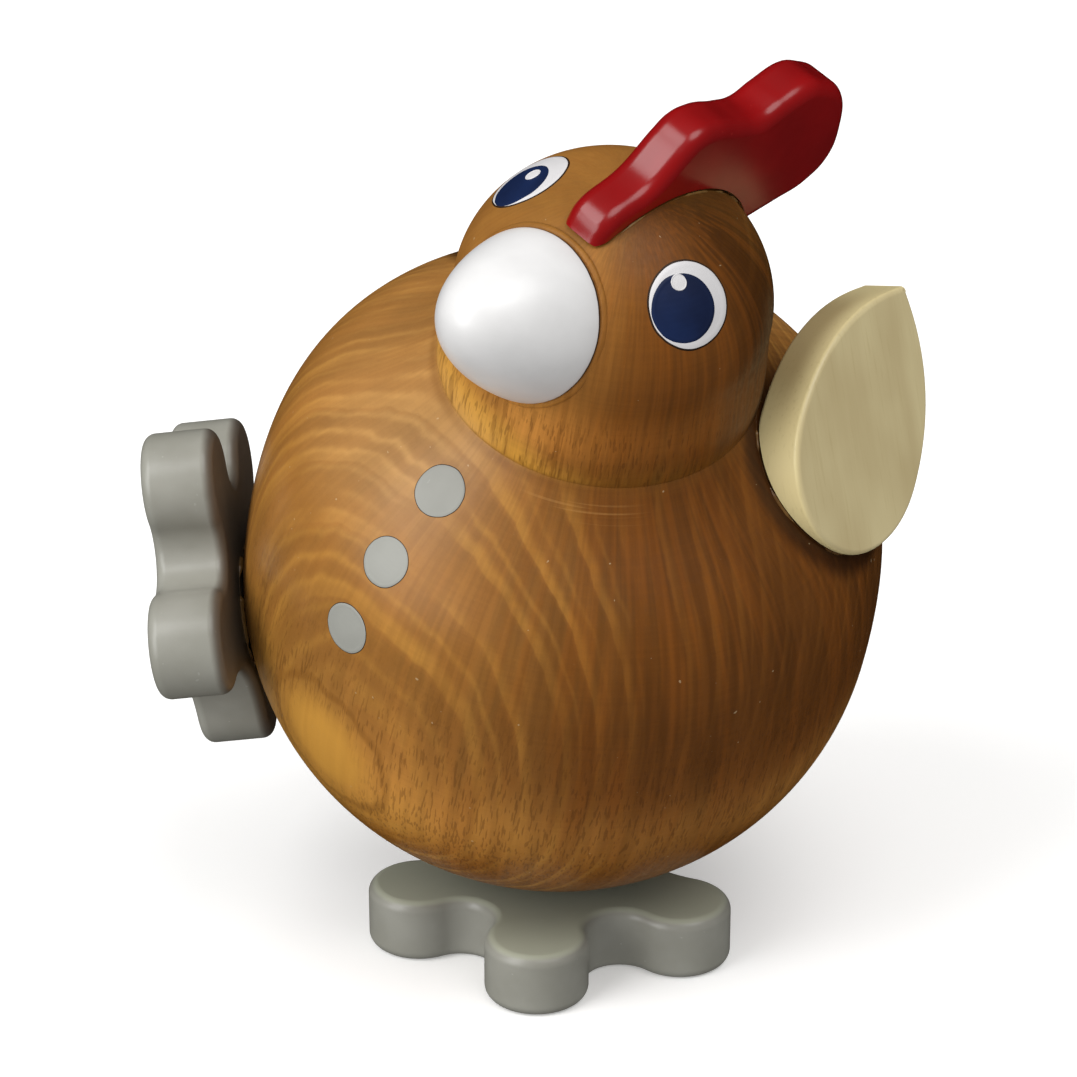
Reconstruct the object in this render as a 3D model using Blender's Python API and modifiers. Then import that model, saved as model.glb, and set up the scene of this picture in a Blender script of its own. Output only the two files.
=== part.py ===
"""Wooden chicken figure: a turned ball and head, with comb, beak, wings and feet pinned on. Metres, +Z up.

The origin is on the flat sole of the standing foot, under the middle of the ball. The figure has a frame of
its own at the ball's centre, in which +Z is the lathe's axis, -Y its front and +X its left. That frame leans
and turns above the standing foot.
"""

import math

import bmesh
import bpy
from mathutils import Euler, Matrix, Vector

# Thickness of the glue between faces, and the room round each pin and past its ends.
GLUE_GAP = 0.0003
PIN_GAP = 0.0003

# How the figure stands on its foot: turns about X, Y and Z, in degrees.
LEAN = (13.7, 22.7, -41.95)

# Body and head, turned in one piece. The shoulder curve leaves the ball's side upright and comes down to the
# neck at a slope. The jaw curve leaves the neck almost upright.
BALL_RADIUS = 0.032
SHOULDER_RISE = 0.0249
SHOULDER_REACH = 0.0117
SHOULDER_SLOPE = 48.6
NECK_RADIUS = 0.01564
NECK_BELOW_BALL_TOP = 0.00075
JAW_REACH = 0.0029
JAW_SLOPE = 83.3
JAW_RISE = 0.0033
TEMPLE_RADIUS = 0.0151
TEMPLE_ABOVE_NECK = 0.0093
DOME_HEIGHT = 0.01327
TURNED_STEPS = 60
DOME_STEPS = 10
JAW_STEPS = 6
SHOULDER_STEPS = 14
UNDERSIDE_STEPS = 14

# Beak: a turned plug in a shallow round recess of the head. A short collar, then a dome that is drawn in towards
# its tip; a greater fullness makes it blunter. The drop is from the head's middle, along the recess.
BEAK_AZIMUTH = -0.7
BEAK_ELEVATION = 27.5
BEAK_DROP = 0.00124
BEAK_SEAT_DISTANCE = 0.0112
BEAK_COLLAR_HEIGHT = 0.00133
BEAK_RADIUS = 0.00802
BEAK_DOME_LENGTH = 0.01065
BEAK_FULLNESS = 1.21
BEAK_DOME_STEPS = 11
BEAK_TURNED_STEPS = 40
BEAK_PIN_RADIUS = 0.0015
BEAK_PIN_LENGTH = 0.012
BEAK_PIN_SKIN = 0.0065

# Comb: a plate in the figure's middle plane, a little thicker behind. Its outline is given as millimetres behind
# the lathe's axis and above the crown, from the tip over the brow, over both crests and down to the nape. The
# taper is what its right face moves out per length behind the axis.
COMB_THICKNESS = 0.00495
COMB_TAPER = 0.022
COMB_RIM_RADIUS = 0.0006
COMB_CURVE_STEPS = 5
COMB_OUTLINE = (
    (-6.9, -1.1),
    (-5.6, 0.9),
    (0.0, 2.4),
    (3.6, 4.8),
    (5.6, 5.75),
    (8.25, 5.5),
    (11.9, 3.85),
    (14.85, 2.85),
    (17.4, 3.25),
    (21.3, 3.45),
    (23.5, 2.35),
    (26.2, -0.05),
    (27.25, -4.35),
    (26.35, -8.45),
    (23.2, -10.3),
    (18.9, -10.5),
)
COMB_PIN_RADIUS = 0.001
COMB_PIN_LENGTH = 0.0075
COMB_PIN_REACH = 0.0032
COMB_FRONT_PIN_BACK = 0.004
COMB_REAR_PIN_BACK = 0.011

# Wings: leaf-shaped plates. The left one's outer face looks along the azimuth and elevation, and its tip is
# twisted back from upright. The inner face lies below the ball's surface, so the wing is hollowed to fit it.
WING_AZIMUTH = 101.5
WING_ELEVATION = 33.1
WING_TWIST = 55.3
WING_SEAT_DEPTH = 0.00214
WING_START = 0.0044
WING_SIDESTEP = 0.0022
WING_THICKNESS = 0.0053
WING_LENGTH = 0.0272
WING_HALF_WIDTH = 0.00995
WING_BELLY = 0.0118
WING_TIP_HALF_WIDTH = 0.00084
WING_TIP_RISE = 0.00088
WING_RIM_RADIUS = 0.0005
WING_CURVE_STEPS = 10
WING_PIN_ALONG = 0.0096
WING_PIN_RADIUS = 0.0015
WING_PIN_LENGTH = 0.009
WING_PIN_SKIN = 0.0016

# Feet: two plates with four round toes and one outline. Reaches run from the pin to the middle of each toe's
# round end. The raised foot lies on a small flat of the ball.
STANDING_FOOT_THICKNESS = 0.00674
RAISED_FOOT_THICKNESS = 0.00724
RAISED_SEAT_DEPTH = 0.0005
FOOT_RIM_RADIUS = 0.0011
TOE_RADIUS = 0.0053
FRONT_TOE_REACH = 0.0166
SIDE_TOE_REACH = 0.01536
SIDE_TOE_ANGLE = 61.8
HEEL_REACH = 0.0112
FRONT_HOLLOW_RADIUS = 0.00335
REAR_HOLLOW_RADIUS = 0.0125
FOOT_PIN_RADIUS = 0.002
FOOT_PIN_LENGTH = 0.013
FOOT_PIN_SKIN = 0.0022
TOE_STEPS = 12
HOLLOW_STEPS = 7
STANDING_TOE_HEADING = -97.9
RAISED_AZIMUTH = -42.7
RAISED_ELEVATION = -14.3
RAISED_TWIST = -9.5

PIN_CHAMFER = 0.0003
PIN_STEPS = 24
RIM_STEPS = 3
WELD_DISTANCE = 0.000001
FLAT_WITHIN_DEGREES = 0.5
SHADE_SHARP_FROM_DEGREES = 40
ROUND_RIM_FROM_DEGREES = 60
MILLIMETRE = 0.001

# Handle length of a cubic curve that makes a quarter circle of radius 1, and the least that a hollow's radius
# must exceed what reaches two toes.
ROUND_HANDLE = 4 / 3 * (math.sqrt(2) - 1)
HOLLOW_REACH_MARGIN = 1.01

ball_centre_height = STANDING_FOOT_THICKNESS + GLUE_GAP + BALL_RADIUS
neck_height = BALL_RADIUS - NECK_BELOW_BALL_TOP
temple_height = neck_height + TEMPLE_ABOVE_NECK
crown_height = temple_height + DOME_HEIGHT

for old in list(bpy.data.objects):
    bpy.data.objects.remove(old, do_unlink=True)
parts = bpy.data.collections.new("wooden_chicken_figure")
cutters = bpy.data.collections.new("cutters")
for collection in (parts, cutters):
    bpy.context.scene.collection.children.link(collection)


def material(name, colour, roughness):
    """A plain surface; the colour is linear."""
    made = bpy.data.materials.new(name)
    made.use_nodes = True
    surface = made.node_tree.nodes["Principled BSDF"]
    surface.inputs["Base Color"].default_value = (*colour, 1.0)
    surface.inputs["Roughness"].default_value = roughness
    surface.inputs["Metallic"].default_value = 0.0
    return made


honey_wood = material("honey_wood", (0.32, 0.13, 0.02), 0.35)
white_paint = material("white_paint", (0.82, 0.81, 0.79), 0.35)
red_paint = material("red_paint", (0.33, 0.012, 0.01), 0.15)
pale_wood = material("pale_wood", (0.52, 0.43, 0.24), 0.4)
grey_paint = material("grey_paint", (0.27, 0.27, 0.22), 0.45)
pin_wood = material("pin_wood", (0.55, 0.38, 0.2), 0.6)

figure = bpy.data.objects.new("figure_frame", None)
figure.location = (0, 0, ball_centre_height)
figure.rotation_euler = Euler([math.radians(angle) for angle in LEAN])
parts.objects.link(figure)


def add_object(name, mesh, frame, surface, parent=figure):
    """Puts a mesh in the figure's frame, or in the world's where the parent is None."""
    piece = bpy.data.objects.new(name, mesh)
    piece.parent = parent
    piece.matrix_basis = frame
    if surface:
        parts.objects.link(piece)
        mesh.materials.append(surface)
    else:
        cutters.objects.link(piece)
        piece.hide_render = True
        piece.display_type = "WIRE"
    return piece


def facing(azimuth, elevation, twist=0.0):
    """A frame whose +Z points out from the figure, with +Y up and then twisted towards greater azimuth."""
    turn = Matrix.Rotation(math.radians(azimuth), 4, "Z")
    tilt = Matrix.Rotation(math.radians(90 - elevation), 4, "X")
    return turn @ tilt @ Matrix.Rotation(math.radians(-twist), 4, "Z")


def shifted(x, y, z):
    return Matrix.Translation((x, y, z))


def turned(name, profile, steps, frame, surface, parent=figure):
    """Turns (radius, height) points, which run down the outer side, about the frame's Z axis."""
    mesh = bpy.data.meshes.new(name)
    edges = [(index, index + 1) for index in range(len(profile) - 1)]
    mesh.from_pydata([(radius, 0, height) for radius, height in profile], edges, [])
    piece = add_object(name, mesh, frame, surface, parent)
    screw = piece.modifiers.new("turned", "SCREW")
    screw.steps = steps
    screw.render_steps = steps
    screw.use_merge_vertices = True
    screw.merge_threshold = WELD_DISTANCE
    screw.use_smooth_shade = True
    return piece


def plate(name, curve, thickness, rim_radius, frame, surface, parent=figure):
    """Fills and thickens a flat outline and rounds its rims; the frame is at the plate's inner face."""
    curve.dimensions = "2D"
    curve.fill_mode = "BOTH"
    curve.extrude = thickness / 2
    outline = bpy.data.objects.new(name + "_outline", curve)
    cutters.objects.link(outline)
    solid = outline.evaluated_get(bpy.context.evaluated_depsgraph_get())
    mesh = bpy.data.meshes.new_from_object(solid)
    bpy.data.objects.remove(outline)
    join_caps(mesh)
    mesh.name = name
    mesh.transform(shifted(0, 0, thickness / 2))
    mesh.shade_smooth()
    mesh.set_sharp_from_angle(angle=math.radians(SHADE_SHARP_FROM_DEGREES))
    piece = add_object(name, mesh, frame, surface, parent)
    rim = piece.modifiers.new("rounded_rim", "BEVEL")
    rim.width = rim_radius
    rim.segments = RIM_STEPS
    rim.limit_method = "ANGLE"
    rim.angle_limit = math.radians(ROUND_RIM_FROM_DEGREES)
    return piece


def join_caps(mesh):
    """Welds a filled curve's loose caps to its wall and makes each cap one flat face."""
    work = bmesh.new()
    work.from_mesh(mesh)
    bmesh.ops.remove_doubles(work, verts=work.verts, dist=WELD_DISTANCE)
    flat_within = math.radians(FLAT_WITHIN_DEGREES)
    bmesh.ops.dissolve_limit(work, angle_limit=flat_within, verts=work.verts, edges=work.edges)
    bmesh.ops.recalc_face_normals(work, faces=work.faces)
    work.to_mesh(mesh)
    work.free()


def cut(piece, cutter):
    boolean = piece.modifiers.new("cut_by_" + cutter.name, "BOOLEAN")
    boolean.operation = "DIFFERENCE"
    boolean.solver = "EXACT"
    boolean.object = cutter


def cylinder_profile(radius, top, bottom, chamfer=0.0):
    """A cylinder's side with chamfered ends, from its top centre to its bottom centre."""
    side = [(radius, top - chamfer), (radius, bottom + chamfer)]
    if chamfer:
        side = [(radius - chamfer, top), *side, (radius - chamfer, bottom)]
    return [(0, top), *side, (0, bottom)]


def pin(name, frame, radius, top, length, pieces, parent=figure):
    """A chamfered pin down the frame's Z axis from the height top, in a bore through the pieces that it holds."""
    turned(name, cylinder_profile(radius, top, top - length, PIN_CHAMFER), PIN_STEPS, frame, pin_wood, parent)
    bore_side = cylinder_profile(radius + PIN_GAP, top + PIN_GAP, top - length - PIN_GAP)
    bore = turned(name + "_bore", bore_side, PIN_STEPS, frame, None, parent)
    for piece in pieces:
        cut(piece, bore)


def bezier(start, start_handle, end_handle, end, steps):
    """Points along a cubic curve, after its start."""
    points = []
    for step in range(1, steps + 1):
        t = step / steps
        s = 1 - t
        points.append(s**3 * start + 3 * s * s * t * start_handle + 3 * s * t * t * end_handle + t**3 * end)
    return points


def slope(degrees):
    return Vector((math.cos(math.radians(degrees)), math.sin(math.radians(degrees))))


def body_profile():
    """The turned body's side, from the crown over temple, jaw, neck and shoulder to the ball's underside."""
    temple = Vector((TEMPLE_RADIUS, temple_height))
    neck = Vector((NECK_RADIUS, neck_height))
    side = Vector((BALL_RADIUS, 0))
    upright = Vector((0, 1))
    dome = [
        Vector((TEMPLE_RADIUS * math.sin(angle), temple_height + DOME_HEIGHT * math.cos(angle)))
        for angle in quarter_turn(DOME_STEPS)
    ]
    jaw_end = neck + JAW_REACH * slope(JAW_SLOPE)
    jaw = bezier(temple, temple - JAW_RISE * upright, jaw_end, neck, JAW_STEPS)
    shoulder_start = neck + SHOULDER_REACH * slope(-SHOULDER_SLOPE)
    shoulder = bezier(neck, shoulder_start, side + SHOULDER_RISE * upright, side, SHOULDER_STEPS)
    underside_angles = quarter_turn(UNDERSIDE_STEPS)[1:]
    underside = [BALL_RADIUS * Vector((math.cos(angle), -math.sin(angle))) for angle in underside_angles]
    return on_axis_ends(dome + jaw + shoulder + underside)


def quarter_turn(steps):
    """Angles in radians from nothing to a quarter turn."""
    return [math.pi / 2 * step / steps for step in range(steps + 1)]


def on_axis_ends(points):
    """Puts a profile's first and last point exactly on the lathe's axis."""
    return [Vector((0, points[0].y)), *points[1:-1], Vector((0, points[-1].y))]


def grown(profile, distance):
    """The profile moved outward by a distance, square to its side at each point."""
    moved = []
    for index, point in enumerate(profile):
        before = profile[max(index - 1, 0)]
        after = profile[min(index + 1, len(profile) - 1)]
        along = (after - before).normalized()
        moved.append(point + distance * Vector((-along.y, along.x)))
    moved[0] = Vector((0, profile[0].y + distance))
    moved[-1] = Vector((0, profile[-1].y - distance))
    return moved


def head_surface_height(back):
    """Height of the head's dome in the middle plane, at a distance behind the lathe's axis."""
    return temple_height + DOME_HEIGHT * math.sqrt(1 - (back / TEMPLE_RADIUS) ** 2)


def beak_profile():
    """The beak's side as (radius, height) above its base, from the tip over the dome and the collar."""
    dome = []
    for angle in quarter_turn(BEAK_DOME_STEPS)[:-1]:
        rise = math.cos(angle)
        radius = BEAK_RADIUS * math.sqrt(1 - rise**BEAK_FULLNESS)
        dome.append((radius, BEAK_COLLAR_HEIGHT + BEAK_DOME_LENGTH * rise))
    return [*dome, (BEAK_RADIUS, BEAK_COLLAR_HEIGHT), (BEAK_RADIUS, 0), (0, 0)]


def comb_outline():
    """The comb's smooth edge, closed by two corners inside the head."""
    curve = bpy.data.curves.new("comb", "CURVE")
    curve.resolution_u = COMB_CURVE_STEPS
    spline = curve.splines.new("BEZIER")
    nape = (0, COMB_OUTLINE[-1][1])
    knots = [*COMB_OUTLINE, nape]
    spline.bezier_points.add(len(knots) - 1)
    for knot, (back, above) in zip(spline.bezier_points, knots):
        knot.co = (back * MILLIMETRE, above * MILLIMETRE, 0)
        knot.handle_left_type = "AUTO"
        knot.handle_right_type = "AUTO"
    for corner in (spline.bezier_points[0], spline.bezier_points[-1], spline.bezier_points[-2]):
        corner.handle_left_type = "VECTOR"
        corner.handle_right_type = "VECTOR"
    spline.bezier_points[-2].handle_left_type = "AUTO"
    spline.use_cyclic_u = True
    return curve


def wing_outline():
    """A leaf: a round lower end, widening to the half width, then drawn in to the tip along +Y."""
    curve = bpy.data.curves.new("wing", "CURVE")
    curve.resolution_u = WING_CURVE_STEPS
    spline = curve.splines.new("BEZIER")
    width = WING_HALF_WIDTH
    handle = width * ROUND_HANDLE
    tip_drop = WING_LENGTH - WING_TIP_RISE
    knots = (
        ((-handle, 0), (0, 0), (handle, 0)),
        ((width, width - handle), (width, width), (width, width + WING_BELLY)),
        ((WING_TIP_HALF_WIDTH, tip_drop), (0, WING_LENGTH), (-WING_TIP_HALF_WIDTH, tip_drop)),
        ((-width, width + WING_BELLY), (-width, width), (-width, width - handle)),
    )
    spline.bezier_points.add(len(knots) - 1)
    for knot, (before, place, after) in zip(spline.bezier_points, knots):
        knot.handle_left_type = "FREE"
        knot.handle_right_type = "FREE"
        knot.handle_left = (*before, 0)
        knot.co = (*place, 0)
        knot.handle_right = (*after, 0)
    spline.use_cyclic_u = True
    return curve


def arc(centre, radius, start, end, steps):
    """Points on an arc between two angles in radians, without its last."""
    angles = [start + (end - start) * step / steps for step in range(steps)]
    return [centre + radius * Vector((math.cos(angle), math.sin(angle))) for angle in angles]


def heading(vector):
    return math.atan2(vector.y, vector.x)


def hollow_between(toe, next_toe, radius):
    """Centre and radius of the hollow arc that touches two toes from outside, wide enough to reach both."""
    half_chord = (next_toe - toe) / 2
    radius = max(radius, HOLLOW_REACH_MARGIN * half_chord.length - TOE_RADIUS)
    outward = Vector((half_chord.y, -half_chord.x)).normalized()
    rise = math.sqrt((TOE_RADIUS + radius) ** 2 - half_chord.length_squared)
    return toe + half_chord + rise * outward, radius


def foot_outline():
    """Four round toes, the front one along +Y, joined by hollow arcs."""
    side = SIDE_TOE_REACH * slope(90 + SIDE_TOE_ANGLE)
    toes = [Vector((0, FRONT_TOE_REACH)), side, Vector((0, -HEEL_REACH)), Vector((-side.x, side.y))]
    hollow_radii = [FRONT_HOLLOW_RADIUS, REAR_HOLLOW_RADIUS, REAR_HOLLOW_RADIUS, FRONT_HOLLOW_RADIUS]
    next_toes = [*toes[1:], toes[0]]
    hollows = [
        hollow_between(toe, next_toe, radius) for toe, next_toe, radius in zip(toes, next_toes, hollow_radii)
    ]
    points = []
    for index, (toe, next_toe) in enumerate(zip(toes, next_toes)):
        before = hollows[index - 1][0]
        hollow, radius = hollows[index]
        start = heading(before - toe)
        end = heading(hollow - toe)
        points += arc(toe, TOE_RADIUS, start, end + (2 * math.pi if end < start else 0), TOE_STEPS)
        start = heading(toe - hollow)
        end = heading(next_toe - hollow)
        points += arc(hollow, radius, start, end - (2 * math.pi if end > start else 0), HOLLOW_STEPS)
    curve = bpy.data.curves.new("foot", "CURVE")
    spline = curve.splines.new("POLY")
    spline.points.add(len(points) - 1)
    for knot, point in zip(spline.points, points):
        knot.co = (point.x, point.y, 0, 1)
    spline.use_cyclic_u = True
    return curve


def make_body():
    return turned("body_and_head", body_profile(), TURNED_STEPS, Matrix(), honey_wood)


def make_beak(body):
    """The beak in its recess, with room for glue all round."""
    frame = shifted(0, 0, temple_height) @ facing(BEAK_AZIMUTH, BEAK_ELEVATION)
    seat_frame = frame @ shifted(0, -BEAK_DROP, BEAK_SEAT_DISTANCE)
    recess_side = cylinder_profile(BEAK_RADIUS + GLUE_GAP, TEMPLE_RADIUS, 0)
    cut(body, turned("beak_recess", recess_side, BEAK_TURNED_STEPS, seat_frame, None))
    beak_frame = seat_frame @ shifted(0, 0, GLUE_GAP)
    beak = turned("beak", beak_profile(), BEAK_TURNED_STEPS, beak_frame, white_paint)
    pin_top = GLUE_GAP + BEAK_COLLAR_HEIGHT + BEAK_DOME_LENGTH - BEAK_PIN_SKIN
    pin("beak_dowel", seat_frame, BEAK_PIN_RADIUS, pin_top, BEAK_PIN_LENGTH, (body, beak))


def make_comb(body, body_room):
    """The comb, hollowed to the head, on two parallel pins."""
    upright = Euler((math.pi / 2, 0, math.pi / 2)).to_matrix().to_4x4()
    frame = shifted(-COMB_THICKNESS / 2, 0, crown_height) @ upright
    comb = plate("comb", comb_outline(), COMB_THICKNESS, COMB_RIM_RADIUS, frame, red_paint)
    for corner in comb.data.vertices:
        if corner.co.z < COMB_THICKNESS / 2:
            corner.co.z = -COMB_TAPER * corner.co.x
    cut(comb, body_room)
    for name, back in (("comb_pin_front", COMB_FRONT_PIN_BACK), ("comb_pin_rear", COMB_REAR_PIN_BACK)):
        place = shifted(0, back, head_surface_height(back))
        pin(name, place, COMB_PIN_RADIUS, COMB_PIN_REACH, COMB_PIN_LENGTH, (body, comb))


def make_wing(name, hand, body, body_room):
    """A wing hollowed to the body; hand is 1 on the figure's left and -1 on its right."""
    distance = BALL_RADIUS - WING_SEAT_DEPTH
    frame = facing(hand * WING_AZIMUTH, WING_ELEVATION, hand * WING_TWIST)
    frame = frame @ shifted(-hand * WING_SIDESTEP, WING_START, distance)
    wing = plate(name, wing_outline(), WING_THICKNESS, WING_RIM_RADIUS, frame, pale_wood)
    cut(wing, body_room)
    pin_frame = frame @ shifted(0, WING_PIN_ALONG, 0)
    pin_top = WING_THICKNESS - WING_PIN_SKIN
    pin(name + "_dowel", pin_frame, WING_PIN_RADIUS, pin_top, WING_PIN_LENGTH, (body, wing))


def make_standing_foot(body):
    """The foot that lies flat under the ball, its pin upright."""
    heading_turn = Matrix.Rotation(math.radians(STANDING_TOE_HEADING - 90), 4, "Z")
    thickness = STANDING_FOOT_THICKNESS
    foot = plate("standing_foot", foot_outline(), thickness, FOOT_RIM_RADIUS, heading_turn, grey_paint, None)
    pin_frame = shifted(0, 0, thickness) @ Matrix.Rotation(math.pi, 4, "X")
    pin_top = thickness - FOOT_PIN_SKIN
    pin("standing_foot_dowel", pin_frame, FOOT_PIN_RADIUS, pin_top, FOOT_PIN_LENGTH, (body, foot), None)


def make_raised_foot(body):
    """The other foot, its face against a flat on the ball's right front."""
    outward = facing(RAISED_AZIMUTH, RAISED_ELEVATION, RAISED_TWIST)
    seat_frame = outward @ shifted(0, 0, BALL_RADIUS - RAISED_SEAT_DEPTH)
    flat_side = cylinder_profile(BALL_RADIUS / 2, BALL_RADIUS, 0)
    cut(body, turned("raised_foot_flat", flat_side, TURNED_STEPS, seat_frame, None))
    frame = seat_frame @ shifted(0, 0, GLUE_GAP)
    foot = plate("raised_foot", foot_outline(), RAISED_FOOT_THICKNESS, FOOT_RIM_RADIUS, frame, grey_paint)
    pin_top = RAISED_FOOT_THICKNESS - FOOT_PIN_SKIN
    pin("raised_foot_dowel", frame, FOOT_PIN_RADIUS, pin_top, FOOT_PIN_LENGTH, (body, foot))


def make_figure():
    body = make_body()
    body_room = turned("body_room", grown(body_profile(), GLUE_GAP), TURNED_STEPS, Matrix(), None)
    make_beak(body)
    make_comb(body, body_room)
    make_wing("left_wing", 1, body, body_room)
    make_wing("right_wing", -1, body, body_room)
    make_standing_foot(body)
    make_raised_foot(body)


make_figure()
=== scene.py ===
import math

import bmesh
import bpy
from mathutils import Euler, Matrix, Vector


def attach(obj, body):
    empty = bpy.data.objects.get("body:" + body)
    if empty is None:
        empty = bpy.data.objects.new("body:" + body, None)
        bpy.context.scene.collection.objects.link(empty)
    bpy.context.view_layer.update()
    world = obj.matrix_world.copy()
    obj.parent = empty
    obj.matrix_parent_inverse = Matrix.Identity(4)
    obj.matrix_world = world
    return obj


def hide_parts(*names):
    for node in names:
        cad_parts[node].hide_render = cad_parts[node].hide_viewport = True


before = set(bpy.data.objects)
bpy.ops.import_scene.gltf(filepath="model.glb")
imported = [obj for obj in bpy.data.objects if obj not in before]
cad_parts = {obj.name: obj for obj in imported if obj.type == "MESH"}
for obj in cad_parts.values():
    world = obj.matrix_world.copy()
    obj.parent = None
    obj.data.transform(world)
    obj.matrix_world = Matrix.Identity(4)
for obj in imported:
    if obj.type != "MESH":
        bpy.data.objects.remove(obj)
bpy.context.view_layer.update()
scene = bpy.context.scene
mm = 0.001
print("frame loaded with", len(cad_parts), "CAD nodes")

# Values that several pieces share.
shared = {
    "glueGap": 0.3 * mm,
    "pinGap": 0.3 * mm,
    "boreSides": 48,
    "meshWeld": 0.0005 * mm,
    "sharpAngle": 35,
    "hollowRoom": 1.01,
    "grainRange": (0.2, 0.8),
    "evenly": (1, 1, 1),
    "lumpDetail": 3,
    "beadSwell": 1.6,
    "beadLeast": 0.1,
    "breakDetail": 1,
    "breakEdge": 0.12,
    "breakThread": 0.05,
}

# How the figure stands. In its own frame +X is its left, -Y its front and +Z the lathe's axis.
figure = {
    "ballHeight": 39.04 * mm,
    "lean": (13.7, 22.7, -41.95),
}
figureTurn = Euler([math.radians(angle) for angle in figure["lean"]])
figureFrame = Matrix.Translation((0, 0, figure["ballHeight"])) @ figureTurn.to_matrix().to_4x4()


def operatorFor(operation, swapped=False):
    # A Python operator for wires, with its two values swapped if asked.
    def apply(wire, value):
        return wire.net.math(operation, *((value, wire) if swapped else (wire, value)))

    return apply


class Wire:
    # One output socket, so that sums of values can be written as Python.
    def __init__(self, net, socket):
        self.net = net
        self.socket = socket

    def other(self, name):
        return Wire(self.net, self.socket.node.outputs[name])

    __add__ = __radd__ = operatorFor("ADD")
    __mul__ = __rmul__ = operatorFor("MULTIPLY")
    __sub__ = operatorFor("SUBTRACT")
    __rsub__ = operatorFor("SUBTRACT", True)
    __truediv__ = operatorFor("DIVIDE")
    __pow__ = operatorFor("POWER")


class Net:
    # A node tree that takes a node's type, settings and sockets in one call.
    def __init__(self, tree):
        self.tree = tree
        tree.nodes.clear()

    def node(self, kind, settings=None, sockets=None, output=0):
        made = self.tree.nodes.new(kind)
        for name, value in (settings or {}).items():
            setattr(made, name, value)
        for name, value in (sockets or {}).items():
            if isinstance(value, Wire):
                self.tree.links.new(value.socket, made.inputs[name])
            else:
                made.inputs[name].default_value = value
        return Wire(self, made.outputs[output]) if made.outputs else made

    def math(self, operation, *values):
        return self.node("ShaderNodeMath", {"operation": operation}, dict(enumerate(values)))

    def vector(self, operation, *values, output=0):
        return self.node("ShaderNodeVectorMath", {"operation": operation}, dict(enumerate(values)), output)

    def scaled(self, vector, factor):
        return self.node("ShaderNodeVectorMath", {"operation": "SCALE"}, {"Vector": vector, "Scale": factor})

    def split(self, vector):
        x = self.node("ShaderNodeSeparateXYZ", sockets={"Vector": vector}, output="X")
        return x, x.other("Y"), x.other("Z")

    def join(self, x, y, z):
        return self.node("ShaderNodeCombineXYZ", sockets={"X": x, "Y": y, "Z": z})

    def mix(self, factor, first, second, blend="MIX"):
        settings = {"data_type": "RGBA", "blend_type": blend}
        return self.node("ShaderNodeMix", settings, {0: factor, 6: first, 7: second}, 2)

    def blend(self, amount, limits, first, second):
        # From one colour to another as the amount passes its limits.
        return self.mix(self.step(amount, limits), colour(first), colour(second))

    def lay(self, base, amount, tint):
        # Lays a tint, which is a colour and its strength, over the base.
        return self.mix(amount * tint[1], base, colour(tint[0]))

    def shaded(self, base, tone):
        return self.mix(1.0, base, self.join(tone, tone, tone), "MULTIPLY")

    def step(self, value, limits):
        # A soft step between two limits, which falls where the first is the higher one. Two more numbers in
        # limits are what it starts and ends with.
        low, high, start, end = (*limits, 0.0, 1.0)[:4]
        settings = {"interpolation_type": "SMOOTHSTEP", "clamp": True}
        return self.node("ShaderNodeMapRange", settings, {0: value, 1: low, 2: high, 3: start, 4: end})

    def span(self, value, limits):
        # Rises between the first two limits and falls between the last two.
        return self.step(value, limits[:2]) * self.step(value, (limits[3], limits[2]))

    def noise(self, place, settings):
        # Settings: how often it changes along each axis, its detail, its seed and, if not 0.5, its roughness.
        stretch, detail, seed, roughness = (*settings, 0.5)[:4]
        sockets = {"Vector": self.vector("MULTIPLY", place, stretch), "W": seed, "Scale": 1.0}
        sockets.update({"Detail": detail, "Roughness": roughness})
        return self.node("ShaderNodeTexNoise", {"noise_dimensions": "4D"}, sockets)


def colour(code):
    # A colour as it is seen on a screen, such as b5824a, made linear.
    parts = [int(code[start : start + 2], 16) / 255 for start in (0, 2, 4)]
    return (*[part / 12.92 if part <= 0.04045 else ((part + 0.055) / 1.055) ** 2.4 for part in parts], 1.0)


def startTree(name, inputs):
    # A Geometry Nodes tree with named inputs, which are also what a piece's dictionary calls its values.
    tree = bpy.data.node_groups.new(name, "GeometryNodeTree")
    for label, kind in (("Geometry", "Geometry"), *inputs.items(), ("finish", "Material")):
        tree.interface.new_socket(label, in_out="INPUT", socket_type="NodeSocket" + kind)
    tree.interface.new_socket("Geometry", in_out="OUTPUT", socket_type="NodeSocketGeometry")
    net = Net(tree)
    first = net.node("NodeGroupInput")
    given = {label: first.other(label) for label in ("Geometry", *inputs, "finish")}
    return tree, net, given


def geometry(net, kind, sockets=None, settings=None, output=0):
    return net.node("GeometryNode" + kind, settings, sockets, output)


def endTree(net, shape, finish):
    real = geometry(net, "RealizeInstances", {"Geometry": shape})
    smooth = geometry(net, "SetShadeSmooth", {"Geometry": real})
    painted = geometry(net, "SetMaterial", {"Geometry": smooth, "Material": finish})
    net.node("NodeGroupOutput", sockets={"Geometry": painted})


def addTree(piece, tree, values):
    # Puts a tree on a piece and sets its inputs by their identifiers.
    modifier = piece.modifiers.new(tree.name, "NODES")
    modifier.node_group = tree
    for item in tree.interface.items_tree:
        if item.in_out == "INPUT" and item.name in values:
            modifier[item.identifier] = values[item.name]


def addPiece(name, data):
    piece = bpy.data.objects.new(name, data)
    scene.collection.objects.link(piece)
    return piece


def addPoints(name, points, joined=False, faces=()):
    # A piece from points, which edges join into a row if asked.
    mesh = bpy.data.meshes.new(name)
    edges = [(index, index + 1) for index in range(len(points) - 1)] if joined else []
    mesh.from_pydata(points, edges, faces)
    return addPiece(name, mesh)


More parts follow.
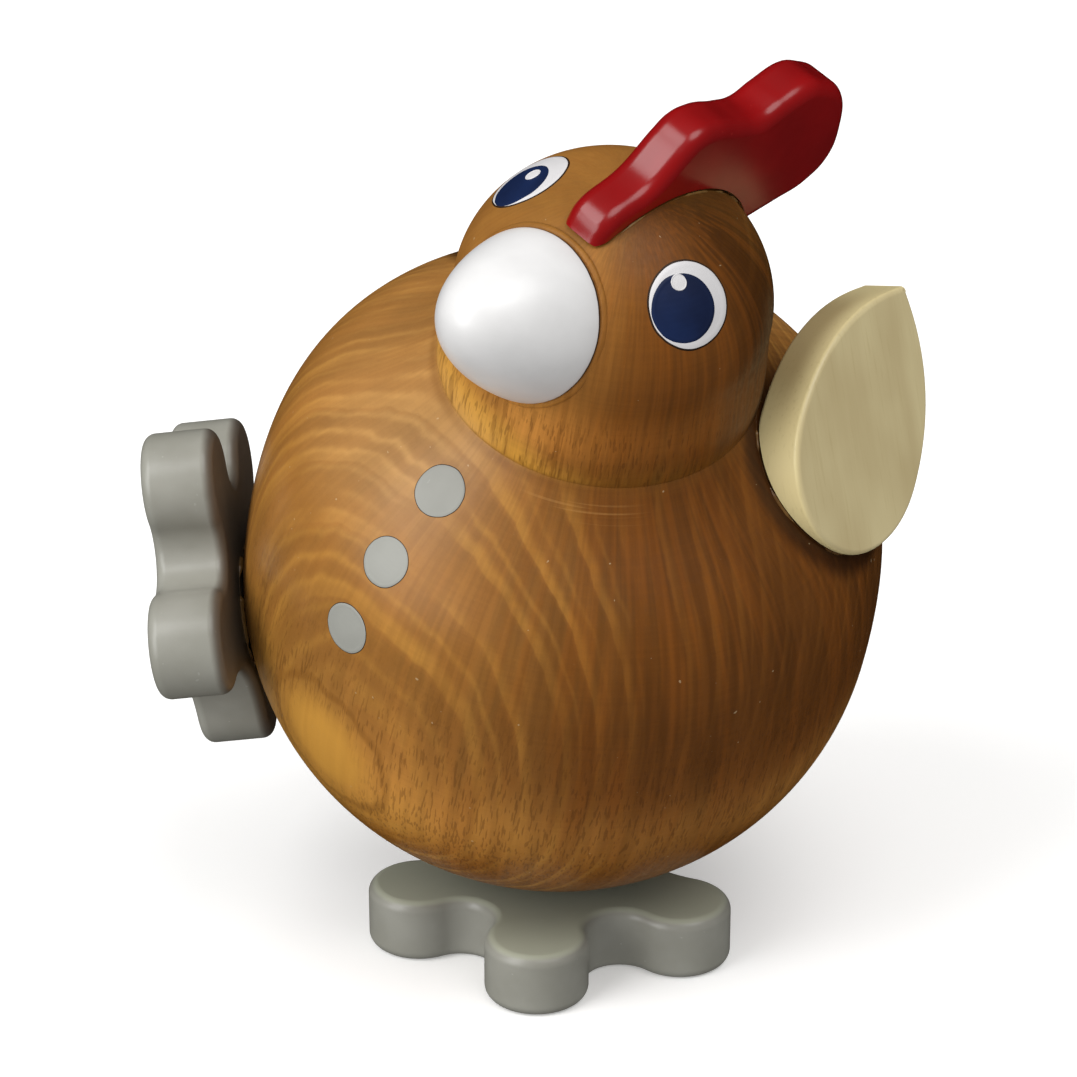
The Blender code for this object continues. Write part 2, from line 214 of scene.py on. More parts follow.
def bake(piece):
    # Turns what the piece's modifiers make into its own plain mesh.
    bpy.context.view_layer.update()
    evaluated = piece.evaluated_get(bpy.context.evaluated_depsgraph_get())
    mesh = bpy.data.meshes.new_from_object(evaluated)
    mesh.name = piece.name
    piece.modifiers.clear()
    piece.data = mesh
    return piece


def makeLatheTree():
    # Turns a row of points, which runs down the outer side in X and Z, about the Z axis.
    tree, net, given = startTree("turnOnLathe", {"steps": "Int", "weld": "Float"})
    side = given["Geometry"]
    rings = geometry(net, "AttributeDomainSize", {"Geometry": side}, {"component": "MESH"}, "Point Count")
    columns = given["steps"] + 1
    grid = geometry(net, "MeshGrid", {"Vertices X": rings, "Vertices Y": columns}, output="Mesh")
    index = geometry(net, "InputIndex")
    ring = net.math("FLOOR", (index + 0.5) / columns)
    angle = (index - ring * columns) / given["steps"] * math.tau
    sockets = {"Geometry": side, "Value": geometry(net, "InputPosition"), "Index": ring}
    radius, _, height = net.split(geometry(net, "SampleIndex", sockets, {"data_type": "FLOAT_VECTOR"}))
    place = net.join(radius * net.math("COSINE", angle), radius * net.math("SINE", angle), height)
    turned = geometry(net, "SetPosition", {"Geometry": grid, "Position": place})
    welded = geometry(net, "MergeByDistance", {"Geometry": turned, "Distance": given["weld"]})
    endTree(net, welded, given["finish"])
    return tree


def makeSpotTree():
    # Lays a spot of paint on the body at each point and presses it onto the surface.
    inputs = {"mould": "Object", "body": "Object", "thickness": "Float", "unevenness": "Float"}
    inputs.update({"waves": "Float", "seed": "Int", "reach": "Float"})
    tree, net, given = startTree("paintSpots", inputs)

    def named(label, kind):
        return geometry(net, "InputNamedAttribute", {"Name": label}, {"data_type": kind})

    place = geometry(net, "InputPosition")
    sockets = {"Geometry": given["Geometry"], "Name": "spotCentre", "Value": place}
    points = geometry(net, "StoreNamedAttribute", sockets, {"data_type": "FLOAT_VECTOR"})
    radius = named("spotRadius", "FLOAT")
    out = named("spotFacing", "FLOAT_VECTOR")
    turn = net.node("FunctionNodeAlignRotationToVector", {"axis": "Z"}, {"Vector": out})
    mould = geometry(net, "ObjectInfo", {"Object": given["mould"]}, output="Geometry")
    sockets = {"Points": points, "Instance": mould, "Rotation": turn}
    sockets["Scale"] = net.join(radius, radius, given["thickness"])
    real = geometry(net, "RealizeInstances", {"Geometry": geometry(net, "InstanceOnPoints", sockets)})
    centre = named("spotCentre", "FLOAT_VECTOR")
    away = net.vector("SUBTRACT", place, centre)
    height = net.vector("DOT_PRODUCT", away, out, output="Value")
    lift = net.scaled(out, height)
    flat = net.vector("SUBTRACT", away, lift)
    side = net.scaled(net.vector("NORMALIZE", flat), given["waves"])
    around = net.vector("ADD", side, net.scaled(centre, 1 / mm))
    wobble = net.noise(around, (shared["evenly"], shared["lumpDetail"], given["seed"]))
    spread = net.scaled(flat, (wobble - 0.5) * given["unevenness"] + 1)
    above = net.vector("ADD", net.vector("ADD", centre, spread), net.scaled(out, given["reach"]))
    body = geometry(net, "ObjectInfo", {"Object": given["body"]}, output="Geometry")
    sockets = {"Target Geometry": body, "Source Position": above, "Ray Length": given["reach"] * 2}
    sockets["Ray Direction"] = net.scaled(out, -1.0)
    hit = geometry(net, "Raycast", sockets, output="Hit Position")
    laid = net.vector("ADD", hit, lift)
    sockets = {"Switch": hit.other("Is Hit"), "False": place, "True": laid}
    laid = geometry(net, "Switch", sockets, {"input_type": "VECTOR"})
    pressed = geometry(net, "SetPosition", {"Geometry": real, "Position": laid})
    endTree(net, pressed, given["finish"])
    return tree


def makeBeadTree():
    # Runs a bead of dried glue along a path; it swells, and here and there it thins to a thread.
    inputs = {"radius": "Float", "spacing": "Float", "sides": "Int", "lumps": "Float"}
    inputs.update({"breaks": "Float", "gaps": "Float", "seed": "Int"})
    tree, net, given = startTree("glueBead", inputs)
    line = geometry(net, "MeshToCurve", {"Mesh": given["Geometry"]})
    line = geometry(net, "ResampleCurve", {"Curve": line, "Length": given["spacing"]}, {"mode": "LENGTH"})
    place = net.scaled(geometry(net, "InputPosition"), 1 / mm)
    lumpy = net.scaled(place, given["lumps"])
    lumps = net.noise(lumpy, (shared["evenly"], shared["lumpDetail"], given["seed"]))
    broken = net.scaled(place, given["breaks"])
    breaks = net.noise(broken, (shared["evenly"], shared["breakDetail"], given["seed"]))
    stays = net.step(breaks, (given["gaps"], given["gaps"] + shared["breakEdge"]))
    thread = shared["breakThread"]
    size = given["radius"] * (lumps * shared["beadSwell"] + shared["beadLeast"])
    size = size * (stays * (1 - thread) + thread)
    ring = geometry(net, "CurvePrimitiveCircle", {"Resolution": given["sides"], "Radius": 1.0})
    sockets = {"Curve": line, "Profile Curve": ring, "Scale": size, "Fill Caps": True}
    endTree(net, geometry(net, "CurveToMesh", sockets), given["finish"])
    return tree


latheTree = makeLatheTree()
spotTree = makeSpotTree()
beadTree = makeBeadTree()
print("trees made: lathe, paint spots and glue beads")


def turnPiece(name, profile, steps, place, finish=None):
    # Turns (radius, height) points; place is the frame they lie in.
    piece = addPoints(name, [(radius, 0, height) for radius, height in profile], True)
    addTree(piece, latheTree, {"steps": steps, "weld": shared["meshWeld"], "finish": finish})
    bake(piece)
    piece.data.transform(place)
    return piece


def boreAt(place, radius, top, bottom):
    # A plain cylinder along the Z axis of a frame, to cut with.
    mesh = bpy.data.meshes.new("bore")
    work = bmesh.new()
    sizes = {"radius1": radius, "radius2": radius, "depth": top - bottom}
    middle = place @ Matrix.Translation((0, 0, (top + bottom) / 2))
    bmesh.ops.create_cone(work, cap_ends=True, segments=shared["boreSides"], matrix=middle, **sizes)
    bmesh.ops.recalc_face_normals(work, faces=work.faces)
    work.to_mesh(mesh)
    work.free()
    return addPiece("bore", mesh)


def cutPiece(piece, cutters, finish, faceWeight=None):
    # Cuts a piece to fit and gives it its finish; a weight makes its flat faces shade flat.
    for cutter in cutters:
        cutting = piece.modifiers.new("cut", "BOOLEAN")
        cutting.operation = "DIFFERENCE"
        cutting.solver = "EXACT"
        cutting.object = cutter
    bake(piece)
    piece.data.set_sharp_from_angle(angle=math.radians(shared["sharpAngle"]))
    if faceWeight:
        weighted = piece.modifiers.new("flatFaces", "WEIGHTED_NORMAL")
        weighted.keep_sharp = True
        weighted.weight = faceWeight
        bake(piece)
    piece.data.materials.clear()
    piece.data.materials.append(finish)
    return piece


def platePiece(name, outline, look, place, cutters, finish):
    # A flat plate from its outline, with rounded rims, then cut to fit.
    mesh = bpy.data.meshes.new(name)
    work = bmesh.new()
    floor = work.faces.new([work.verts.new((x, y, 0)) for x, y in outline])
    raised = bmesh.ops.extrude_face_region(work, geom=[floor])
    top = [part for part in raised["geom"] if isinstance(part, bmesh.types.BMVert)]
    bmesh.ops.translate(work, verts=top, vec=(0, 0, look["thickness"]))
    for corner in set(work.verts) - set(top):
        corner.co.z = -look["taper"] * corner.co.x
    bmesh.ops.recalc_face_normals(work, faces=work.faces)
    for face in work.faces:
        face.smooth = True
    work.to_mesh(mesh)
    work.free()
    piece = addPiece(name, mesh)
    rim = piece.modifiers.new("rim", "BEVEL")
    rim.width = look["rim"]
    rim.segments = look["rimSteps"]
    rim.limit_method = "ANGLE"
    rim.angle_limit = math.radians(look["rimAngle"])
    rim.use_clamp_overlap = False
    bake(piece)
    piece.data.transform(place)
    return cutPiece(piece, cutters, finish, look["faceWeight"])


def turned(degrees, axis="Z"):
    return Matrix.Rotation(math.radians(degrees), 4, axis)


def facing(azimuth, elevation, twist=0.0):
    # A frame whose Z points out from the figure, with Y up and then twisted.
    return turned(azimuth) @ turned(90 - elevation, "X") @ turned(-twist)


def moved(x, y, z):
    return Matrix.Translation((x, y, z))


def slope(degrees):
    return Vector((math.cos(math.radians(degrees)), math.sin(math.radians(degrees))))


def bezier(start, startHandle, endHandle, end, steps):
    # Points along a cubic curve, after its start.
    points = []
    for step in range(1, steps + 1):
        t = step / steps
        s = 1 - t
        points.append(s**3 * start + 3 * s * s * t * startHandle + 3 * s * t * t * endHandle + t**3 * end)
    return points


def newMaterial(name):
    material = bpy.data.materials.new(name)
    material.use_nodes = True
    return material, Net(material.node_tree)


def endMaterial(net, settings):
    surface = net.node("ShaderNodeBsdfPrincipled", sockets=settings)
    net.node("ShaderNodeOutputMaterial", sockets={"Surface": surface})


def finishMaterial(net, look, base, grain, relief):
    # Roughness runs from the first to the second of the look's two as the grain's noise rises.
    strength, distance = look["bump"]
    sockets = {"Height": relief, "Strength": strength, "Distance": distance}
    settings = {
        "Base Color": base,
        "Roughness": net.step(grain, (*shared["grainRange"], *look["roughness"])),
        "Specular IOR Level": look["shine"],
        "Coat Weight": look["coat"],
        "Coat Roughness": look["coatRoughness"],
        "Normal": net.node("ShaderNodeBump", sockets=sockets),
    }
    endMaterial(net, settings)


def spaceOf(net, place):
    # Object coordinates in millimetres, centred and turned to a piece's own frame.
    seen = net.node("ShaderNodeTexCoord", output="Object")
    sockets = {"Vector": seen, "Location": place.translation, "Rotation": place.to_euler()}
    sockets["Scale"] = (mm, mm, mm)
    return net.node("ShaderNodeMapping", {"vector_type": "TEXTURE"}, sockets)


# Stained wood, in millimetres of the turned piece's own frame. Growth rings are bent layers, counted from
# the lathe's axis to the front. They lean with height, swing forward on the figure's left and bow a little.
# Each ring grows lighter, then stops sharply. Heights run up the axis, and a side runs from -1 at the
# figure's right to 1 at its left. Noises, limits and tints are as Net's methods take them.
stainedWood = {
    "lean": 0.373,
    "leanByFront": 0.0139,
    "leanByLeft": 0.0031,
    "swing": 0.00525,
    "slant": 0.037,
    "sag": 0.0012,
    "bow": 0.00134,
    "slowBend": ((0.05, 0.05, 0.03), 1, 1),
    "slowBendSize": 1.5,
    "quickBend": ((0.35, 0.35, 0.07), 2, 2),
    "quickBendSize": 0.7,
    "firstRing": 11.5,
    "ringSpacing": 2.35,
    "ringLine": (0.62, 0.85, 0.93, 1.0),
    "twinLine": (0.36, 0.46, 0.46, 0.56),
    "twinShare": 0.5,
    "ringShade": (0.0, 0.06, 0.12, 0.5),
    "ringShadeStrength": 0.12,
    "ringFade": ((0.17, 0.17, 0.1), 2, 3),
    "eachRing": ((0.83, 0.0, 0.0), 0, 10),
    "ringShows": (0.34, 0.6),
    "headHides": 0.8,
    "faintSide": (0.7, 0.95),
    "faintHeights": (8.0, 22.0, 0.75, 0.35),
    "bandTurns": 0.37,
    "bandTone": 0.12,
    "fineTurns": 3,
    "finePower": 3,
    "fineShare": 0.8,
    "fineOnRight": 0.6,
    "ringLight": "c8923e",
    "ringDark": "8a551a",
    "ringStrength": 0.42,
    "axisRoom": 1.0,
    "headHeights": (30.9, 36.5),
    "rightSide": (0.3, -0.2),
    "eyeMiddle": (0.0, -32.0, -2.5),
    "eyeReach": (9.0, 3.0),
    "eyeGold": 0.85,
    "light": "92622a",
    "dark": "60370f",
    "darkSide": (0.15, 0.95),
    "darkWander": 0.5,
    "blotches": ((0.11, 0.11, 0.06), 3, 4),
    "lowHeights": (8.0, -14.0),
    "lowWander": 12.0,
    "lowPale": 0.78,
    "lowGold": 0.62,
    "lowGoldHeights": (-27.0, -15.0, 0.1, 1.0),
    "tone": (-0.2, 0.3, 0.84, 1.14),
    "headTone": 0.08,
    "cheekHeights": (30.9, 36.5, 36.5, 43.0),
    "cheekPaintedLight": 0.6,
    "lowPaintedLightHeights": (-28.0, -18.0, -12.0, 14.0),
    "lift": 1.05,
    "lowPaintedLightOnRight": 0.85,
    "bottomPaintedShade": (-22.0, -4.0, 0.55, 1.0),
    "headLeft": (0.0, 3.0),
    "headSideLightAndShade": (-2.0, 5.0, 0.34, -0.4),
    "golden": "c8913a",
    "jawEdge": (30.9, 31.7),
    "jawFade": (36.5, 33.0),
    "jawWander": 5.0,
    "jawRise": 2.5,
    "jawSide": (0.25, 0.85),
    "jawDulled": 0.85,
    "jawTop": (41.0, 36.5),
    "patches": ((0.13, 0.13, 0.09), 3, 17),
    "patchLimits": (0.62, 0.67),
    "patchOnLow": 0.2,
    "patch": ("9c6a2c", 0.6),
    "underside": "6a431e",
    "undersideHeights": (-29.0, -19.0, 0.8, 0.0),
    "undersideWander": 4.0,
    "undersideOnDark": 0.6,
    "lowShade": (0.5, 0.38, 0.2, 1.0),
    "lowShadeOverFloor": (26.0, 16.0),
    "fibreRoom": 9.0,
    "fibreReach": 24.0,
    "grain": ((0.7, 0.7, 0.05), 2, 15),
    "grainLimits": (0.45, 0.62),
    "streak": ("8a4c10", 0.26),
    "streakOnDark": 0.75,
    "fibre": ((1.6, 1.6, 0.06), 3, 5),
    "mottle": ((1.6, 1.6, 1.0), 3, 6, 0.6),
    "turning": ((0.08, 0.08, 3.2), 2, 16),
    "streakMix": (0.75, 0.08, 0.17),
    "streakTone": (0.38, 0.62, -0.1, 0.1),
    "calmOnRight": 0.55,
    "calmByEye": 0.8,
    "paintedSheen": ("e2b87e", 0.42),
    "paintedSheenShare": 0.4,
    "shoulderHeights": (18.0, 27.0),
    "shoulderSide": (-1.0, -0.4, 0.3, 1.0),
    "strokes": ((1.1, 1.1, 0.22), 3, 19),
    "strokeLimits": (0.52, 0.6),
    "stroke": ("744716", 0.36),
    "eyeRim": (7.3, 7.9, 8.1, 9.0),
    "eyeRimWander": 3.0,
    "creaseShadeHeights": (30.2, 30.9, 31.2, 31.9),
    "grooves": ((0.05, 0.05, 6.0), 1, 18),
    "grooveLimits": (0.56, 0.66),
    "grooveHeights": (28.0, 29.0, 29.6, 30.6),
    "grooveSide": (0.3, 0.5, 0.75, 0.9),
    "groove": ("cf9d5c", 0.16),
    "combAcross": (1.5, 2.5, 3.0, 8.0),
    "combHeights": (48.0, 51.5),
    "combBack": (-9.0, -4.0),
    "combShade": ("3a210f", 0.3),
    "wingReach": (3.0, 1.0),
    "wingHeights": (-20.0, -10.0),
    "wingAlong": (20.0, 12.0),
    "wingShade": ("2e1808", 0.8),
    "pores": ((4.2, 4.2, 0.45), 1, 7),
    "poreCrowd": ((0.1, 0.1, 0.1), 1, 8),
    "poreHeights": (17.0, 3.0),
    "poreLimits": (0.62, 0.69),
    "poreLeast": 0.1,
    "poreByCrowd": 0.12,
    "poreByRing": 0.05,
    "pore": ("4c2a0c", 0.36),
    "dustSpecks": ((2.2, 2.2, 2.2), 0, 9),
    "dustLimits": (0.84, 0.87),
    "dust": ("d8c49c", 0.3),
    "relief": (0.5, 0.4, 0.6),
    "roughness": (0.49, 0.35),
    "shine": 0.15,
    "coat": 0.22,
    "coatRoughness": 0.28,
    "bump": (0.3, 0.04 * mm),
}


def makeStainedWood():
    look = stainedWood
    material, net = newMaterial("stainedWood")
    place = spaceOf(net, figureFrame)
    x, y, z = net.split(place)
    outSquared = x * x + y * y
    side = x / net.math("SQRT", outSquared + look["axisRoom"])

    def noise(name, where=place):
        return net.noise(where, look[name])

    def step(value, name):
        return net.step(value, look[name])

    def span(value, name):
        return net.span(value, look[name])

    def larger(first, second):
        return net.math("MAXIMUM", first, second)

    def wave(turns):
        return net.math("SINE", phase * (math.tau * turns)) * 0.5 + 0.5

    # Growth rings: thin light lines that come and go, each with a darker band behind it.
    front = y * -1.0
    leaning = z * (look["lean"] - front * look["leanByFront"] - x * look["leanByLeft"])
    swinging = x * (front * look["swing"] - x * look["sag"] - look["slant"])
    slowBend = noise("slowBend") - 0.5
    quickBend = noise("quickBend") - 0.5
    depth = front + leaning + swinging - front * front * look["bow"]
    depth = depth + slowBend * look["slowBendSize"] + quickBend * look["quickBendSize"]
    phase = (depth - look["firstRing"]) / look["ringSpacing"]
    part = net.math("FRACT", phase)
    shade = span(part, "ringShade")
    onHead = step(z, "headHeights")
    onRight = step(side, "rightSide")
    fromEye = net.vector("DISTANCE", place, look["eyeMiddle"], output="Value")
    nearEye = step(fromEye, "eyeReach")
    faint = step(side, "faintSide") * step(z, "faintHeights")
    comesAndGoes = noise("ringFade") * 0.5 + noise("eachRing", net.join(phase, 0.0, 0.0)) * 0.5
    shown = step(comesAndGoes, "ringShows") * (1 - onHead * look["headHides"]) * (1 - nearEye) * (1 - faint)
    lines = span(part, "ringLine") + span(part, "twinLine") * look["twinShare"]
    fine = wave(look["fineTurns"]) ** look["finePower"] * look["fineShare"]
    ring = net.mix(onRight * look["fineOnRight"], lines, fine) * shown

    # Colour: darker on the figure's left, the side away from the lamps, partly the wood's own stain and
    # partly painted shade; golden at the rings' eye and along the jaw. Painted light and shade are marked
    # where they come.
    blotch = noise("blotches") - 0.5
    low = step(z + blotch * look["lowWander"], "lowHeights")
    darkness = step(side + blotch * look["darkWander"], "darkSide") * (1 - low * look["lowPale"])
    base = net.mix(darkness, colour(look["light"]), colour(look["dark"]))
    tone = step(blotch + wave(look["bandTurns"]) * look["bandTone"], "tone")
    # Painted light: the head's lower band, round the cheeks where the beak's shadow falls, is lightened.
    tone = tone * (1 + span(z, "cheekHeights") * look["cheekPaintedLight"])
    tone = tone * (1 - shade * shown * look["ringShadeStrength"])
    # Painted light: the ball's lower band is lightened, far more on the figure's left, the shaded side.
    tone = tone * (1 + span(z, "lowPaintedLightHeights") * (look["lift"] - onRight * look["lowPaintedLightOnRight"]))
    # Painted shade: the ball grows darker towards its bottom. The head is a little darker overall.
    tone = tone * (1 - onHead * look["headTone"]) * step(z, "bottomPaintedShade")
    # Painted light on the front of the head's left side, where the beak's shadow falls, and painted shade
    # towards its back.
    tone = tone * (1 + onHead * step(x, "headLeft") * step(y, "headSideLightAndShade"))
    base = net.shaded(base, tone)
    aboveJaw = step(z, "jawEdge")
    jaw = aboveJaw * step(z + blotch * look["jawWander"] + side * look["jawRise"], "jawFade")
    golden = larger(nearEye * look["eyeGold"], jaw * (1 - step(side, "jawSide") * look["jawDulled"]))
    lowGold = low * (1 - darkness) * step(z, "lowGoldHeights") * look["lowGold"]
    base = net.mix(larger(golden, lowGold), base, colour(look["golden"]))
    patch = step(noise("patches") + low * look["patchOnLow"], "patchLimits") * low * darkness
    base = net.lay(base, patch, look["patch"])
    # Painted shade: the underside of the ball turns a darker brown, less so on the dark side.
    under = step(z + blotch * look["undersideWander"], "undersideHeights")
    base = net.mix(under * (1 - darkness * look["undersideOnDark"]), base, colour(look["underside"]))
    # Painted shade: the wood within about 16 to 26 mm of the floor is darkened.
    _, _, overFloor = net.split(spaceOf(net, Matrix()))
    base = net.mix(step(overFloor, "lowShadeOverFloor"), base, look["lowShade"], "MULTIPLY")
    ringColour = net.mix(darkness, colour(look["ringLight"]), colour(look["ringDark"]))
    base = net.mix(ring * look["ringStrength"], base, ringColour)

    # Fibres run from crown to foot. Dark strokes lie along the jaw and round the rings' eye, and a dark line
    # of painted shade lies in the crease. A painted sheen lies on the lit shoulder, and painted shade beside
    # the comb and the wings.
    fromAxis = net.math("SQRT", outSquared + look["fibreRoom"]) / look["fibreReach"]
    meridian = net.join(x / fromAxis, y / fromAxis, z)
    onDark = look["streakOnDark"]
    reddish = step(noise("grain", meridian), "grainLimits") * (darkness * onDark + (1 - onDark))
    base = net.lay(base, reddish, look["streak"])
    fibre = noise("fibre", meridian)
    mottle = noise("mottle")
    # Painted highlight: a light sheen band on the shoulder of the lit side, stronger on each ring.
    shoulder = step(z, "shoulderHeights") * (1 - onHead) * onRight * step(side, "shoulderSide")
    base = net.lay(base, shoulder * (ring * look["paintedSheenShare"] + look["paintedSheenShare"]), look["paintedSheen"])
    jawBand = aboveJaw * step(z, "jawTop")
    strokes = step(noise("strokes", meridian), "strokeLimits") * jawBand
    eyeRim = span(fromEye + quickBend * look["eyeRimWander"], "eyeRim")
    strokes = larger(strokes, larger(eyeRim, span(z, "creaseShadeHeights")))
    base = net.lay(base, strokes, look["stroke"])
    nearNeck = span(z, "grooveHeights") * span(side, "grooveSide")
    base = net.lay(base, step(noise("grooves"), "grooveLimits") * nearNeck, look["groove"])
    byComb = span(x, "combAcross") * step(z, "combHeights") * step(y, "combBack")
    base = net.lay(base, byComb, look["combShade"])
    wingEnd = wing["halfWidth"] / mm
    for hand in (1, -1):
        across, along, height = net.split(spaceOf(net, wingFrame(wing, hand)))
        below = net.math("MINIMUM", along - wingEnd, 0.0)
        fromWing = net.math("SQRT", across * across + below * below) - wingEnd
        near = step(fromWing, "wingReach") * step(height, "wingHeights") * step(along, "wingAlong")
        base = net.lay(base, near, look["wingShade"])
    calm = larger(onRight * look["calmOnRight"], nearEye * look["calmByEye"])
    byFibre, byMottle, byTurning = look["streakMix"]
    streak = fibre * byFibre + mottle * byMottle + noise("turning") * byTurning
    base = net.shaded(base, step(streak, "streakTone") * (1 - calm) + 1.0)

    # Pores are thickest below, behind each ring and along the jaw.
    crowded = larger(step(z, "poreHeights"), jawBand) * (1 - look["poreLeast"]) + look["poreLeast"]
    pore = noise("pores") + noise("poreCrowd") * look["poreByCrowd"] + shade * shown * look["poreByRing"]
    pore = step(pore, "poreLimits") * crowded * (1 - nearEye)
    base = net.lay(base, pore, look["pore"])
    dust = step(noise("dustSpecks"), "dustLimits")
    base = net.lay(base, dust, look["dust"])
    fibreDepth, mottleDepth, poreDepth = look["relief"]
    relief = fibre * fibreDepth + mottle * mottleDepth - pore * poreDepth + dust
    coat = (1 - onHead) * (onRight + 1) * (look["coat"] / 2)
    finishMaterial(net, {**look, "coat": coat}, base, mottle, relief)
    return material


# Paint: slow changes of tone, fine bands across the piece's thickness, small bumps and specks. Each paint
# says where it differs from this plain one.
plainPaint = {
    "toneNoise": ((0.15, 0.15, 0.15), 3, 11),
    "toneLimits": (0.25, 0.75),
    "bandNoise": ((0.03, 0.03, 1.3), 2, 12),
    "grainNoise": ((3.0, 3.0, 3.0), 3, 13),
    "speckNoise": ((2.2, 2.2, 2.2), 0, 14),
    "speckLimits": (0.8, 0.84),
    "grain": 0.3,
    "bands": 0.0,
    "roughness": (0.55, 0.45),
    "shine": 0.3,
    "coat": 0.05,
    "coatRoughness": 0.3,
    "bump": (0.3, 0.05 * mm),
}
whitePaint = {
    **plainPaint,
    "colour": "dfdedd",
    "deep": "d6d5d4",
    "speck": ("c9c4b8", 0.3),
    "grain": 0.5,
    "roughness": (0.39, 0.29),
    "shine": 0.5,
    "coat": 0.2,
}
eyePaint = {**whitePaint, "colour": "d6d4d5", "deep": "cac8c8"}
redPaint = {
    **plainPaint,
    "colour": "900609",
    "deep": "800507",
    "speck": ("c93a34", 0.2),
    "grain": 0.4,
    "bands": 0.4,
    "roughness": (0.5, 0.4),
    "shine": 0.05,
    "coat": 1.0,
    "coatRoughness": 0.24,
}
greyPaint = {
    **plainPaint,
    "colour": "94938a",
    "deep": "86857b",
    "speck": ("b5b4ab", 0.3),
    "grain": 0.5,
    "bands": 0.6,
    "roughness": (0.45, 0.35),
    "shine": 0.4,
    "coat": 0.25,
    "coatRoughness": 0.25,
}
# Painted light: the standing foot's top face is made lighter, where more light falls on it.
paintedLitTop = {"tint": ("b3b8a2", 0.6), "tintHeights": (6.3, 6.7), "tintWander": 0.4}
# The raised foot browns next to the ball: partly a glue smear, partly painted shade and reflection of the
# ball.
glueAndShadeByBall = {"tint": ("3a2613", 0.65), "tintHeights": (1.2, 0.2), "tintWander": 0.6}
dotPaint = {**plainPaint, "colour": "999992", "deep": "8f8f88", "speck": ("b9b9b2", 0.2)}
irisPaint = {
    **plainPaint,
    "colour": "14264e",
    "deep": "0c1836",
    "speck": ("2c3a5e", 0.2),
    "shine": 0.2,
    "coat": 0.04,
}
# Thin dark outlines under the eye whites and the grey dots; round the dots they are painted shade along the
# paint's raised edge.
darkOutline = {**irisPaint, "colour": "3a2614", "deep": "20130a"}


def makePaint(name, look, place):
    # A tint, where there is one, comes in between two heights over the piece's base, in millimetres.
    material, net = newMaterial(name)
    space = spaceOf(net, place)
    _, _, height = net.split(space)
    tone = net.noise(space, look["toneNoise"])
    base = net.blend(tone, look["toneLimits"], look["deep"], look["colour"])
    specks = net.step(net.noise(space, look["speckNoise"]), look["speckLimits"])
    base = net.lay(base, specks, look["speck"])
    if "tint" in look:
        level = height + (tone - 0.5) * look["tintWander"]
        base = net.lay(base, net.step(level, look["tintHeights"]), look["tint"])
    bands = net.noise(space, look["bandNoise"]) * look["bands"]
    relief = net.noise(space, look["grainNoise"]) * look["grain"] + bands
    finishMaterial(net, look, base, tone, relief)
    return material


# The beak's finish: white paint over the dome and bare wood on the collar. The paint's edge lies at a height
# over the beak's base and wanders, in millimetres.
beakFinish = {
    **whitePaint,
    "toneNoise": ((0.2, 0.2, 0.2), 3, 32),
    "grainNoise": ((3.0, 3.0, 3.0), 3, 33),
    "grain": 0.4,
    "paintFrom": 1.2,
    "edgeNoise": ((0.35, 0.35, 0.0), 3, 31),
    "edgeWander": 0.4,
    "edgeSoftness": 0.06,
    "edgeLine": 0.15,
    "edgeDark": ("2c2018", 1),
    "ledge": 1.5,
    "fibres": ((3.0, 0.5, 3.0), 3, 34),
    "fibreLimits": (0.3, 0.7),
    "wood": "8a5a28",
    "woodDark": "6e441b",
}


def makeBeakFinish(look):
    material, net = newMaterial("beakWhite")
    space = spaceOf(net, beakFrame)
    _, _, height = net.split(space)
    level = height + (net.noise(space, look["edgeNoise"]) - 0.5) * look["edgeWander"]
    ledge = net.step(level, (look["paintFrom"], look["paintFrom"] + look["edgeSoftness"]))
    tone = net.noise(space, look["toneNoise"])
    white = net.blend(tone, look["toneLimits"], look["deep"], look["colour"])
    fibre = net.noise(space, look["fibres"])
    wood = net.blend(fibre, look["fibreLimits"], look["woodDark"], look["wood"])
    edge = look["paintFrom"] - look["edgeLine"]
    wood = net.lay(wood, net.step(level, (edge - look["edgeSoftness"], edge)), look["edgeDark"])
    relief = net.noise(space, look["grainNoise"]) * look["grain"] + ledge * look["ledge"]
    finishMaterial(net, look, net.mix(ledge, wood, white), tone, relief)
    return material


# Pale wood: the grain runs slantwise over the plate, its angle in degrees from the length. The plate's wall
# is lighter, partly its own sawn wood and partly painted light, and near the head it carries painted shade
# and a painted reflection of the head.
paleWood = {
    "grainAngle": 40,
    "broadNoise": ((0.5, 0.03, 0.5), 3, 21),
    "fibreNoise": ((3.0, 0.16, 3.0), 3, 22, 0.6),
    "cloudNoise": ((0.12, 0.08, 0.12), 2, 23),
    "cloudShare": 0.7,
    "toneLimits": (0.3, 0.7),
    "light": "d2c394",
    "dark": "c0ae80",
    "edge": ("e6d59d", 0.8),
    "edgeHeights": (5.25, 4.9),
    "edgeWander": 0.3,
    "fibre": ("a8935f", 0.22),
    "fibreLimits": (0.52, 0.75),
    "headShade": ("77582c", 0.55),
    "headShadeAlong": (6.0, 15.0, 22.0, 27.0),
    "headShadeHeights": (5.2, 2.2),
    "roughness": (0.48, 0.37),
    "shine": 0.5,
    "coat": 0.2,
    "coatRoughness": 0.25,
    "bump": (0.2, 0.03 * mm),
}


